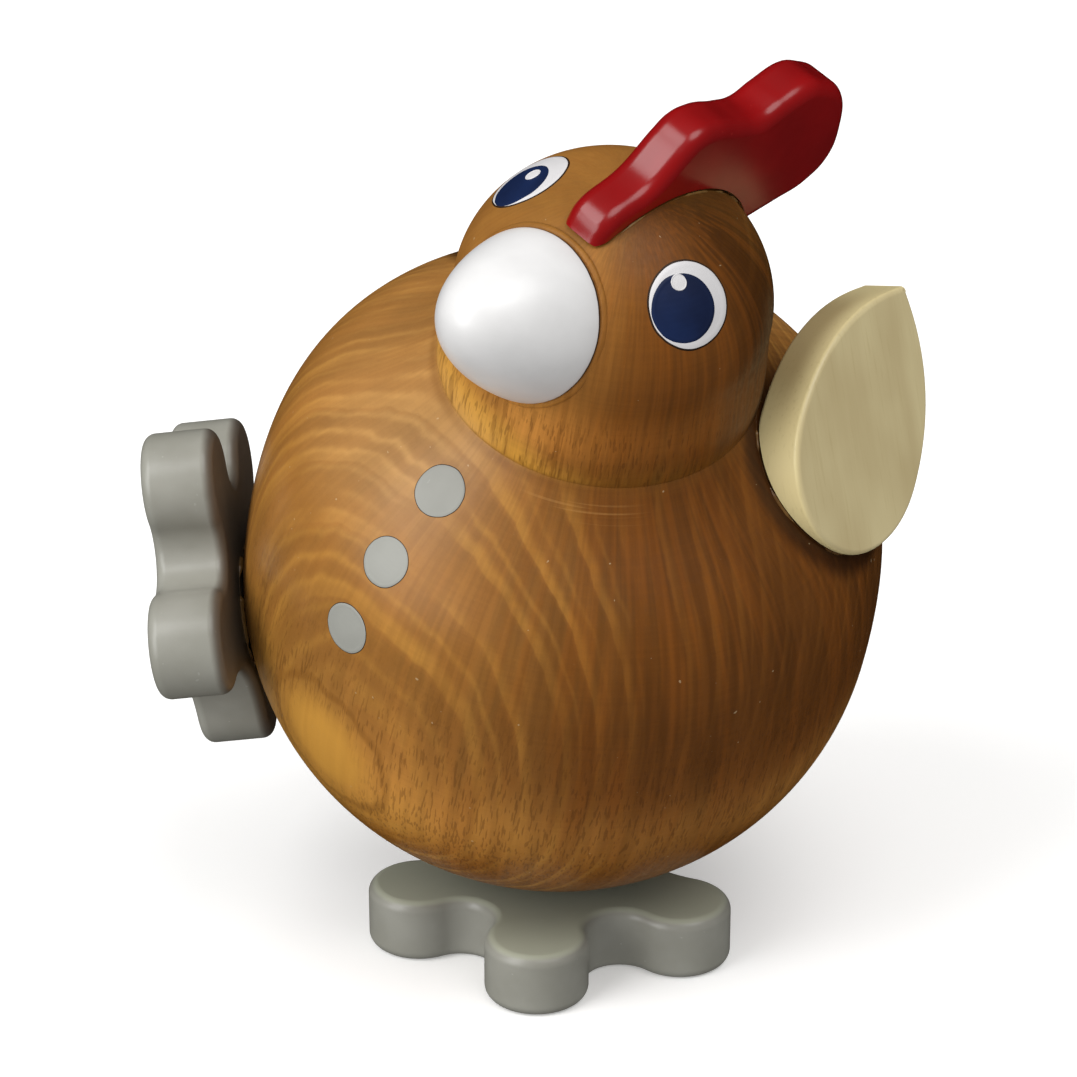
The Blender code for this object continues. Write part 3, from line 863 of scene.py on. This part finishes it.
def makePaleWood(name, look, place, hand=1):
    material, net = newMaterial(name)
    space = spaceOf(net, place @ turned(hand * look["grainAngle"]))
    _, along, height = net.split(spaceOf(net, place))
    fibre = net.noise(space, look["fibreNoise"])
    cloud = net.noise(space, look["cloudNoise"])
    tone = net.noise(space, look["broadNoise"]) * (1 - look["cloudShare"]) + cloud * look["cloudShare"]
    base = net.blend(tone, look["toneLimits"], look["dark"], look["light"])
    # The wall is lighter: partly its own sawn wood, partly painted light.
    level = height + (cloud - 0.5) * look["edgeWander"]
    base = net.lay(base, net.step(level, look["edgeHeights"]), look["edge"])
    base = net.lay(base, net.step(fibre, look["fibreLimits"]), look["fibre"])
    # Painted shade and reflection of the head on the wall's inner part, from the middle towards the tip.
    shadedByHead = net.span(along, look["headShadeAlong"]) * net.step(height, look["headShadeHeights"])
    base = net.lay(base, shadedByHead, look["headShade"])
    finishMaterial(net, look, base, fibre, fibre)
    return material


# Body and head, turned in one piece. The shoulder rises upright from the ball's side and leans in to the
# neck.
turnedBody = {
    "ballRadius": 32 * mm,
    "shoulderRise": 24.9 * mm,
    "shoulderReach": 11.7 * mm,
    "shoulderSlope": 48.6,
    "neckRadius": 15.64 * mm,
    "neckHeight": 31.25 * mm,
    "jawReach": 2.9 * mm,
    "jawSlope": 83.3,
    "jawRise": 3.3 * mm,
    "templeRadius": 15.1 * mm,
    "templeHeight": 40.55 * mm,
    "domeHeight": 13.27 * mm,
    "steps": 192,
    "domeSteps": 36,
    "jawSteps": 24,
    "shoulderSteps": 56,
    "undersideSteps": 60,
}


def bodyProfile(look):
    temple = Vector((look["templeRadius"], look["templeHeight"]))
    neck = Vector((look["neckRadius"], look["neckHeight"]))
    side = Vector((look["ballRadius"], 0))
    upright = Vector((0, 1))
    dome = []
    for step in range(look["domeSteps"] + 1):
        turn = slope(90 - 90 * step / look["domeSteps"])
        dome.append(temple + Vector((temple.x * (turn.x - 1), look["domeHeight"] * turn.y)))
    jawEnd = neck + look["jawReach"] * slope(look["jawSlope"])
    jaw = bezier(temple, temple - look["jawRise"] * upright, jawEnd, neck, look["jawSteps"])
    shoulderStart = neck + look["shoulderReach"] * slope(-look["shoulderSlope"])
    shoulderEnd = side + look["shoulderRise"] * upright
    shoulder = bezier(neck, shoulderStart, shoulderEnd, side, look["shoulderSteps"])
    steps = look["undersideSteps"]
    underside = [side.x * slope(-90 * step / steps) for step in range(1, steps + 1)]
    points = [*dome, *jaw, *shoulder, *underside]
    return [Vector((0, points[0].y)), *points[1:-1], Vector((0, points[-1].y))]


def grown(profile, distance):
    # The profile moved outward, square to its side at each point.
    out = []
    for index, point in enumerate(profile):
        before = profile[max(index - 1, 0)]
        after = profile[min(index + 1, len(profile) - 1)]
        along = (after - before).normalized()
        out.append(point + distance * Vector((-along.y, along.x)))
    out[0] = Vector((0, profile[0].y + distance))
    out[-1] = Vector((0, profile[-1].y - distance))
    return out


# Beak: a turned plug in a shallow recess of the head, a bare collar under a painted dome.
beak = {
    "azimuth": -0.7,
    "elevation": 27.5,
    "drop": 1.24 * mm,
    "seatDistance": 11.2 * mm,
    "collar": 1.33 * mm,
    "radius": 8.02 * mm,
    "length": 10.65 * mm,
    "fullness": 1.21,
    "steps": 160,
    "sideSteps": 56,
}


def beakProfile(look):
    side = []
    for step in range(look["sideSteps"]):
        rise = math.cos(math.radians(90 * step / look["sideSteps"]))
        radius = look["radius"] * math.sqrt(1 - rise ** look["fullness"])
        side.append((radius, look["collar"] + look["length"] * rise))
    return [*side, (look["radius"], look["collar"]), (look["radius"], 0), (0, 0)]


# What all plates share: no taper, which edges get a rim and how strongly flat faces shade flat.
plate = {"taper": 0, "rimAngle": 60, "faceWeight": 60}

# Comb: its outline in millimetres behind the lathe's axis and above the crown.
comb = {
    **plate,
    "thickness": 4.95 * mm,
    "taper": 0.022,
    "rim": 1.4 * mm,
    "rimSteps": 10,
    "curveSteps": 16,
    "outline": (
        (-6.9, -1.1),
        (-5.6, 0.9),
        (0.0, 2.4),
        (3.6, 4.8),
        (5.6, 5.75),
        (8.25, 5.5),
        (11.9, 3.85),
        (14.85, 2.85),
        (17.4, 3.25),
        (21.3, 3.45),
        (23.5, 2.35),
        (26.2, -0.05),
        (27.25, -4.35),
        (26.35, -8.45),
        (23.2, -10.3),
        (18.9, -10.5),
    ),
}


def startCurve(look, knots):
    curve = bpy.data.curves.new("outline", "CURVE")
    curve.resolution_u = look["curveSteps"]
    spline = curve.splines.new("BEZIER")
    spline.bezier_points.add(len(knots) - 1)
    return curve, spline.bezier_points


def curvePoints(curve):
    # Closes a flat curve and takes the points along it.
    curve.splines[0].use_cyclic_u = True
    curve.dimensions = "2D"
    curve.fill_mode = "NONE"
    drawn = addPiece("drawn", curve)
    bpy.context.view_layer.update()
    mesh = drawn.evaluated_get(bpy.context.evaluated_depsgraph_get()).to_mesh()
    points = [(vertex.co.x, vertex.co.y) for vertex in mesh.vertices]
    bpy.data.objects.remove(drawn)
    return points


def setHandles(knot, kind):
    knot.handle_left_type = kind
    knot.handle_right_type = kind


def combOutline(look):
    # Its corners are the front end and the two ends of its base, which lies inside the head.
    places = [*look["outline"], (0, look["outline"][-1][1])]
    curve, knots = startCurve(look, places)
    for knot, (back, above) in zip(knots, places):
        knot.co = (back * mm, above * mm, 0)
        setHandles(knot, "AUTO")
    for corner in (knots[0], knots[-1], knots[-2]):
        setHandles(corner, "VECTOR")
    knots[-2].handle_left_type = "AUTO"
    return curvePoints(curve)


# Wings: leaf-shaped plates, hollowed to the ball.
wing = {
    **plate,
    "azimuth": 101.5,
    "elevation": 33.1,
    "twist": 55.3,
    "seatDepth": 2.14 * mm,
    "start": 4.4 * mm,
    "sidestep": 2.2 * mm,
    "thickness": 5.3 * mm,
    "length": 27.2 * mm,
    "halfWidth": 9.95 * mm,
    "belly": 11.8 * mm,
    "tipHalfWidth": 0.84 * mm,
    "tipRise": 0.88 * mm,
    "rim": 0.55 * mm,
    "rimSteps": 6,
    "curveSteps": 32,
}


def wingOutline(look):
    width = look["halfWidth"]
    tip = look["tipHalfWidth"]
    roundHandle = width * 4 / 3 * (math.sqrt(2) - 1)
    tipDrop = look["length"] - look["tipRise"]
    places = (
        ((-roundHandle, 0), (0, 0), (roundHandle, 0)),
        ((width, width - roundHandle), (width, width), (width, width + look["belly"])),
        ((tip, tipDrop), (0, look["length"]), (-tip, tipDrop)),
        ((-width, width + look["belly"]), (-width, width), (-width, width - roundHandle)),
    )
    curve, knots = startCurve(look, places)
    for knot, (before, place, after) in zip(knots, places):
        setHandles(knot, "FREE")
        knot.handle_left = (*before, 0)
        knot.co = (*place, 0)
        knot.handle_right = (*after, 0)
    return curvePoints(curve)


# Feet: four round toes, joined by hollow arcs. Reaches run from the pin to the middle of each toe.
foot = {
    **plate,
    "thickness": 6.74 * mm,
    "raisedThickness": 7.24 * mm,
    "raisedSeat": 0.5 * mm,
    "rim": 1.15 * mm,
    "rimSteps": 8,
    "toeRadius": 5.3 * mm,
    "frontReach": 16.6 * mm,
    "sideReach": 15.36 * mm,
    "sideAngle": 61.8,
    "heelReach": 11.2 * mm,
    "frontHollow": 3.35 * mm,
    "rearHollow": 12.5 * mm,
    "toeSteps": 36,
    "hollowSteps": 20,
    "standingHeading": -97.9,
    "raisedAzimuth": -42.7,
    "raisedElevation": -14.3,
    "raisedTwist": -9.5,
}


def arc(centre, radius, start, end, steps):
    # Points on an arc between two angles, without its last.
    angles = [start + (end - start) * step / steps for step in range(steps)]
    return [centre + radius * Vector((math.cos(angle), math.sin(angle))) for angle in angles]


def heading(vector):
    return math.atan2(vector.y, vector.x)


def hollowBetween(toe, nextToe, toeRadius, radius):
    halfChord = (nextToe - toe) / 2
    radius = max(radius, shared["hollowRoom"] * halfChord.length - toeRadius)
    outward = Vector((halfChord.y, -halfChord.x)).normalized()
    rise = math.sqrt((toeRadius + radius) ** 2 - halfChord.length_squared)
    return toe + halfChord + rise * outward, radius


def footOutline(look):
    side = look["sideReach"] * slope(90 + look["sideAngle"])
    toes = [Vector((0, look["frontReach"])), side, Vector((0, -look["heelReach"])), Vector((-side.x, side.y))]
    radii = [look["frontHollow"], look["rearHollow"], look["rearHollow"], look["frontHollow"]]
    toeRadius = look["toeRadius"]
    hollows = []
    for index, toe in enumerate(toes):
        hollows.append(hollowBetween(toe, toes[(index + 1) % len(toes)], toeRadius, radii[index]))
    points = []
    for index, toe in enumerate(toes):
        hollow, radius = hollows[index]
        start = heading(hollows[index - 1][0] - toe)
        end = heading(hollow - toe)
        points += arc(toe, toeRadius, start, end + (math.tau if end < start else 0), look["toeSteps"])
        start = heading(toe - hollow)
        end = heading(toes[(index + 1) % len(toes)] - hollow)
        points += arc(hollow, radius, start, end - (math.tau if end > start else 0), look["hollowSteps"])
    return [(point.x, point.y) for point in points]


# Hidden pins: each bore's radius is the pin's with room round it. Tops and lengths run along the pin's frame.
pins = {
    "beak": {"radius": 1.5 * mm, "length": 12 * mm, "skin": 6.5 * mm},
    "comb": {"radius": 1 * mm, "length": 7.5 * mm, "reach": 3.2 * mm, "backs": (4 * mm, 11 * mm)},
    "wing": {"radius": 1.5 * mm, "length": 9 * mm, "skin": 1.6 * mm, "along": 9.6 * mm},
    "foot": {"radius": 2 * mm, "length": 13 * mm, "skin": 2.2 * mm},
}


def boreFor(place, kind, top):
    room = shared["pinGap"]
    return boreAt(place, kind["radius"] + room, top + room, top - kind["length"] - room)


headFrame = figureFrame @ moved(0, 0, turnedBody["templeHeight"])
beakOut = facing(beak["azimuth"], beak["elevation"])
beakSeat = headFrame @ beakOut @ moved(0, -beak["drop"], beak["seatDistance"])
beakFrame = beakSeat @ moved(0, 0, shared["glueGap"])
crownHeight = turnedBody["templeHeight"] + turnedBody["domeHeight"]
combTurn = Euler((math.pi / 2, 0, math.pi / 2)).to_matrix().to_4x4()
combFrame = figureFrame @ moved(-comb["thickness"] / 2, 0, crownHeight) @ combTurn


def wingFrame(look, hand):
    place = facing(hand * look["azimuth"], look["elevation"], hand * look["twist"])
    seat = turnedBody["ballRadius"] - look["seatDepth"]
    return figureFrame @ place @ moved(-hand * look["sidestep"], look["start"], seat)


standingFrame = turned(foot["standingHeading"] - 90)
raisedOut = facing(foot["raisedAzimuth"], foot["raisedElevation"], foot["raisedTwist"])
raisedSeat = figureFrame @ raisedOut @ moved(0, 0, turnedBody["ballRadius"] - foot["raisedSeat"])
raisedFrame = raisedSeat @ moved(0, 0, shared["glueGap"])


def headHeight(back):
    # Height of the head's dome in the middle plane.
    share = back / turnedBody["templeRadius"]
    return turnedBody["templeHeight"] + turnedBody["domeHeight"] * math.sqrt(1 - share * share)


def combPinFrame(back):
    return figureFrame @ moved(0, back, headHeight(back))


standingPinFrame = moved(0, 0, foot["thickness"]) @ turned(180, "X")
wingPinTop = wing["thickness"] - pins["wing"]["skin"]
standingPinTop = foot["thickness"] - pins["foot"]["skin"]
raisedPinTop = foot["raisedThickness"] - pins["foot"]["skin"]
beakPinTop = shared["glueGap"] + beak["collar"] + beak["length"] - pins["beak"]["skin"]
beakBore = boreFor(beakSeat, pins["beak"], beakPinTop)
combPin = pins["comb"]
combBores = [boreFor(combPinFrame(back), combPin, combPin["reach"]) for back in combPin["backs"]]
wingBores = {}
for hand in (1, -1):
    wingPinFrame = wingFrame(wing, hand) @ moved(0, pins["wing"]["along"], 0)
    wingBores[hand] = boreFor(wingPinFrame, pins["wing"], wingPinTop)
standingBore = boreFor(standingPinFrame, pins["foot"], standingPinTop)
raisedBore = boreFor(raisedFrame, pins["foot"], raisedPinTop)
bores = [beakBore, *combBores, *wingBores.values(), standingBore, raisedBore]

woodFinish = makeStainedWood()
print("stained wood made")

profile = bodyProfile(turnedBody)
body = turnPiece("turnedBody", profile, turnedBody["steps"], figureFrame, woodFinish)
beakRecess = boreAt(beakSeat, beak["radius"] + shared["glueGap"], turnedBody["templeRadius"], 0)
raisedFlat = boreAt(raisedSeat, turnedBody["ballRadius"] / 2, turnedBody["ballRadius"], 0)
cutPiece(body, [beakRecess, raisedFlat, *bores], woodFinish)
bodyRoom = turnPiece("bodyRoom", grown(profile, shared["glueGap"]), turnedBody["steps"], figureFrame)
print("body turned:", len(body.data.polygons), "faces")

beakWhite = makeBeakFinish(beakFinish)
beakPiece = turnPiece("beakNose", beakProfile(beak), beak["steps"], beakFrame, beakWhite)
cutPiece(beakPiece, [beakBore], beakWhite)

combFinish = makePaint("combRed", redPaint, combFrame)
combPiece = platePiece("combPlate", combOutline(comb), comb, combFrame, [bodyRoom, *combBores], combFinish)

wingPieces = {}
for hand, name in ((1, "leftWing"), (-1, "rightWing")):
    wingFinish = makePaleWood(name + "Wood", paleWood, wingFrame(wing, hand), hand)
    cutters = [bodyRoom, wingBores[hand]]
    wingPieces[hand] = platePiece(name, wingOutline(wing), wing, wingFrame(wing, hand), cutters, wingFinish)

standingFinish = makePaint("standingFootGrey", {**greyPaint, **paintedLitTop}, standingFrame)
outline = footOutline(foot)
standingPiece = platePiece("standingSole", outline, foot, standingFrame, [standingBore], standingFinish)
raisedFinish = makePaint("raisedFootGrey", {**greyPaint, **glueAndShadeByBall}, raisedFrame)
raisedFoot = {**foot, "thickness": foot["raisedThickness"]}
raisedPiece = platePiece("raisedSole", outline, raisedFoot, raisedFrame, [raisedBore], raisedFinish)
print("plates made: comb, wings and feet")

for cutter in [*bores, beakRecess, raisedFlat, bodyRoom]:
    bpy.data.objects.remove(cutter)

# Spots of paint. Places are in the figure's frame, in millimetres, and radii too.
paintSpots = {
    "mouldSteps": 96,
    "ringRise": 0.25,
    "ringPlace": 0.9,
    "ringWidth": 0.05,
    "edgeStart": 0.93,
    "sunk": 0.5,
    "reach": 4 * mm,
    "waves": 1.6,
}
eyeWhites = {
    "places": ((10.63, -2.32, 49.75), (-10.01, -3.13, 50.09)),
    "radii": (4.0, 3.96),
    "thickness": 0.06 * mm,
    "unevenness": 0.06,
    "seed": 3,
}
eyeOutlines = {**eyeWhites, "radii": (4.12, 4.08), "thickness": 0.035 * mm, "unevenness": 0.075}
irises = {
    "places": ((10.57, -3.02, 49.65), (-9.96, -4.1, 49.85)),
    "radii": (3.24, 2.98),
    "thickness": 0.09 * mm,
    "unevenness": 0.04,
    "seed": 8,
}
eyeLights = {
    "places": ((8.83, -2.32, 51.12), (-9.67, -2.82, 50.44)),
    "radii": (0.8, 0.81),
    "thickness": 0.13 * mm,
    "unevenness": 0.08,
    "seed": 5,
}
chestDots = {
    "places": ((-0.05, -20.25, 27.07), (0.18, -26.7, 21.69), (-0.2, -30.48, 14.34)),
    "radii": (2.53, 2.41, 2.51),
    "thickness": 0.06 * mm,
    "unevenness": 0.06,
    "seed": 2,
}
dotOutlines = {**chestDots, "radii": (2.58, 2.46, 2.56), "thickness": 0.035 * mm, "unevenness": 0.07}


def spotProfile(look):
    # A film of paint with a raised ring near its edge, from its middle over the edge to its underside.
    side = []
    steps = look["mouldSteps"] // 2
    for step in range(steps + 1):
        out = math.sin(math.pi / 2 * step / steps)
        fromRing = (out - look["ringPlace"]) / look["ringWidth"]
        rise = 1 - look["ringRise"] + look["ringRise"] * math.exp(-(fromRing**2))
        past = max(0, out - look["edgeStart"]) / (1 - look["edgeStart"])
        side.append((out, rise * math.sqrt(max(0, 1 - past * past))))
    return [*side, (1, -look["sunk"]), (0, -look["sunk"])]


spotMould = turnPiece("spotMould", spotProfile(paintSpots), paintSpots["mouldSteps"], Matrix())


def paintOn(name, look, finish):
    places = [figureFrame @ (Vector(place) * mm) for place in look["places"]]
    spots = addPoints(name, places)
    attributes = spots.data.attributes
    radius = attributes.new("spotRadius", "FLOAT", "POINT")
    radius.data.foreach_set("value", [size * mm for size in look["radii"]])
    out = attributes.new("spotFacing", "FLOAT_VECTOR", "POINT")
    normals = [body.closest_point_on_mesh(place)[2] for place in places]
    out.data.foreach_set("vector", [number for normal in normals for number in normal])
    addTree(spots, spotTree, {**paintSpots, **look, "mould": spotMould, "body": body, "finish": finish})
    return bake(spots)


bpy.context.view_layer.update()
whiteFinish = makePaint("eyeWhite", eyePaint, headFrame)
outlineFinish = makePaint("outlineDark", darkOutline, figureFrame)
blueFinish = makePaint("irisBlue", irisPaint, headFrame)
dotFinish = makePaint("chestDotGrey", dotPaint, figureFrame)
whitesPiece = paintOn("eyeWhites", eyeWhites, whiteFinish)
irisPiece = paintOn("irises", irises, blueFinish)
lightsPiece = paintOn("eyeLights", eyeLights, whiteFinish)
dotsPiece = paintOn("chestDots", chestDots, dotFinish)
outlineLooks = {"eyeOutlines": eyeOutlines, "dotOutlines": dotOutlines}
outlines = [paintOn(name, look, outlineFinish) for name, look in outlineLooks.items()]
bpy.data.objects.remove(spotMould)
print("eyes and dots painted")

# Dried glue that was squeezed out: along the comb, round the wings and under the feet.
glue = {
    **plainPaint,
    "colour": "8e6a38",
    "deep": "5c3d1a",
    "speck": ("e0d2ac", 0.6),
    "grain": 1.0,
    "roughness": (0.4, 0.3),
    "shine": 0.4,
    "coat": 0.4,
    "coatRoughness": 0.2,
    "spacing": 0.15 * mm,
    "sides": 10,
    "lumps": 0.9,
    "breaks": 0.35,
    "gaps": 0.45,
    "combFront": -6.1 * mm,
    "combRadius": 0.15 * mm,
    "wingRadius": 0.2 * mm,
    "wingGap": 0.3 * mm,
    "footRadius": 0.4 * mm,
    "footReach": 5.9 * mm,
    "standingReach": 3.9 * mm,
    "beakRadius": 0.5 * mm,
    "beakHeight": 0.45 * mm,
    "beakUnevenness": 0.1,
    "steps": 72,
}
glueFinish = makePaint("driedGlue", glue, figureFrame)


def combGluePath(look):
    # Follows the head's dome along both faces of the comb and round its front end.
    half = comb["thickness"] / 2
    front = look["combFront"]
    back = pins["comb"]["backs"][1] + half
    side = [(half, back + (front - back) * step / look["steps"]) for step in range(look["steps"] + 1)]
    points = []
    for x, y in [*side, *[(-x, y) for x, y in reversed(side)]]:
        share = (x * x + y * y) / turnedBody["templeRadius"] ** 2
        height = turnedBody["templeHeight"] + turnedBody["domeHeight"] * math.sqrt(1 - share)
        points.append(figureFrame @ Vector((x, y, height)))
    return points


def wingGluePath(place):
    # Drops the wing's outline onto the body.
    down = -(place.to_3x3() @ Vector((0, 0, 1)))
    points = []
    for x, y in wingOutline(wing):
        start = place @ Vector((x, y, wing["thickness"]))
        hit, spot, _, _ = body.ray_cast(start, down, distance=wing["thickness"] + glue["wingGap"])
        if hit:
            points.append(spot)
    return points


def ringPath(place, radius, look):
    turns = [math.tau * step / look["steps"] for step in range(look["steps"] + 1)]
    return [place @ Vector((radius * math.cos(turn), radius * math.sin(turn), 0)) for turn in turns]


def runGlue(name, points, radius, seed, finish=glueFinish, unevenness=1.0):
    bead = addPoints(name, points, True)
    values = {key: glue[key] * unevenness for key in ("lumps", "breaks", "gaps")}
    addTree(bead, beadTree, {**glue, **values, "radius": radius, "seed": seed, "finish": finish})
    return bake(bead)


standingRing = ringPath(moved(0, 0, foot["thickness"]), glue["standingReach"], glue)
beakRing = ringPath(beakFrame @ moved(0, 0, glue["beakHeight"]), beak["radius"], glue)
glueRuns = (
    ("combGlue", combGluePath(glue), glue["combRadius"], 4),
    ("leftWingGlue", wingGluePath(wingFrame(wing, 1)), glue["wingRadius"], 6),
    ("rightWingGlue", wingGluePath(wingFrame(wing, -1)), glue["wingRadius"], 7),
    ("raisedFootGlue", ringPath(raisedFrame, glue["footReach"], glue), glue["footRadius"], 9),
    ("standingFootGlue", standingRing, glue["footRadius"], 12),
)
glueBeads = [runGlue(*run) for run in glueRuns]
glueBeads.append(runGlue("beakGlue", beakRing, glue["beakRadius"], 13, woodFinish, glue["beakUnevenness"]))
print("glue laid:", sum(len(bead.data.polygons) for bead in glueBeads), "faces")

# Hidden pins keep their CAD shape and get plain beech.
pinBeech = {**paleWood, "grainAngle": 0, "light": "d9b98c", "dark": "c9a577", "headShade": ("77582c", 0)}
pinFinish = makePaleWood("pinBeech", pinBeech, figureFrame)
for name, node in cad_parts.items():
    if "dowel" in name or "pin" in name:
        for materialSlot in node.material_slots:
            materialSlot.material = pinFinish

standsFor = (
    (body, "honey_wood", "body_and_head"),
    (beakPiece, "white_paint", "beak"),
    (combPiece, "red_paint", "comb"),
    (wingPieces[1], "pale_wood", "left_wing"),
    (wingPieces[-1], "pale_wood", "right_wing"),
    (standingPiece, "grey_paint", "standing_foot"),
    (raisedPiece, "grey_paint", "raised_foot"),
)
for piece, slotName, node in standsFor:
    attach(piece, "root")
    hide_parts(node)
painted = ((whitesPiece, "white_paint"), (lightsPiece, "white_paint"), (dotsPiece, "grey_paint"))
for piece, slotName in painted:
    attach(piece, "root")
for piece in (irisPiece, *outlines, *glueBeads):
    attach(piece, "root")
print("pieces ride on the frame")

# Studio: a pale floor that throws no light back, three soft lights and a weak white sky. Reflections show
# neither the floor nor the sky.
studio = {
    "floorSize": 6.0,
    "floor": "f7f7f6",
    "floorLight": "fafaf9",
    "floorNoise": ((2500, 2500, 2500), 2, 0),
    "floorLimits": (0.3, 0.7),
    "floorRoughness": (0.75, 0.85),
    "floorGlow": 0.2,
    "lights": {
        "keyLight": {"place": (-1.2, -0.88, 1.68), "size": 1.3, "power": 20},
        "sideLight": {"place": (-1.66, -1.3, 0.6), "size": 1.6, "power": 22.5},
        "topLight": {"place": (0.66, -0.88, 1.98), "size": 1.6, "power": 21},
    },
    "sky": 0.54,
    "target": (0, 0, 0.045),
}


def makeFloor(look):
    half = look["floorSize"] / 2
    corners = [(-half, -half, 0), (half, -half, 0), (half, half, 0), (-half, half, 0)]
    floor = addPoints("paleFloor", corners, faces=[range(len(corners))])
    material, net = newMaterial("paleFloor")
    seen = net.node("ShaderNodeTexCoord", output="Object")
    grain = net.noise(seen, look["floorNoise"])
    base = net.blend(grain, look["floorLimits"], look["floor"], look["floorLight"])
    roughness = net.step(grain, (*look["floorLimits"], *look["floorRoughness"]))
    glow = {"Emission Color": (1, 1, 1, 1), "Emission Strength": look["floorGlow"]}
    endMaterial(net, {"Base Color": base, "Roughness": roughness, **glow})
    floor.data.materials.append(material)
    floor.visible_glossy = False
    floor.visible_diffuse = False


def addLight(name, look):
    lamp = bpy.data.lights.new(name, "AREA")
    lamp.shape = "DISK"
    lamp.size = look["size"]
    lamp.energy = look["power"]
    light = addPiece(name, lamp)
    light.location = look["place"]
    light.rotation_euler = (Vector(studio["target"]) - light.location).to_track_quat("-Z", "Y").to_euler()


makeFloor(studio)
for name, look in studio["lights"].items():
    addLight(name, look)
world = bpy.data.worlds.new("whiteSky")
world.use_nodes = True
sky = world.node_tree.nodes["Background"]
sky.inputs["Color"].default_value = (1, 1, 1, 1)
sky.inputs["Strength"].default_value = studio["sky"]
world.cycles_visibility.glossy = False
scene.world = world
scene.view_settings.view_transform = "Standard"

# Camera: its place, its tilt from straight down and its lens, for a square picture.
shot = {
    "place": (-2.08 * mm, -350.58 * mm, 196.56 * mm),
    "tilt": 66.365,
    "lens": 126.45,
    "sensor": 36,
}
cameraData = bpy.data.cameras.new("camera")
cameraData.lens = shot["lens"]
cameraData.sensor_width = shot["sensor"]
camera = addPiece("camera", cameraData)
camera.location = shot["place"]
camera.rotation_euler = (math.radians(shot["tilt"]), 0, 0)
scene.camera = camera
print("studio and camera ready")
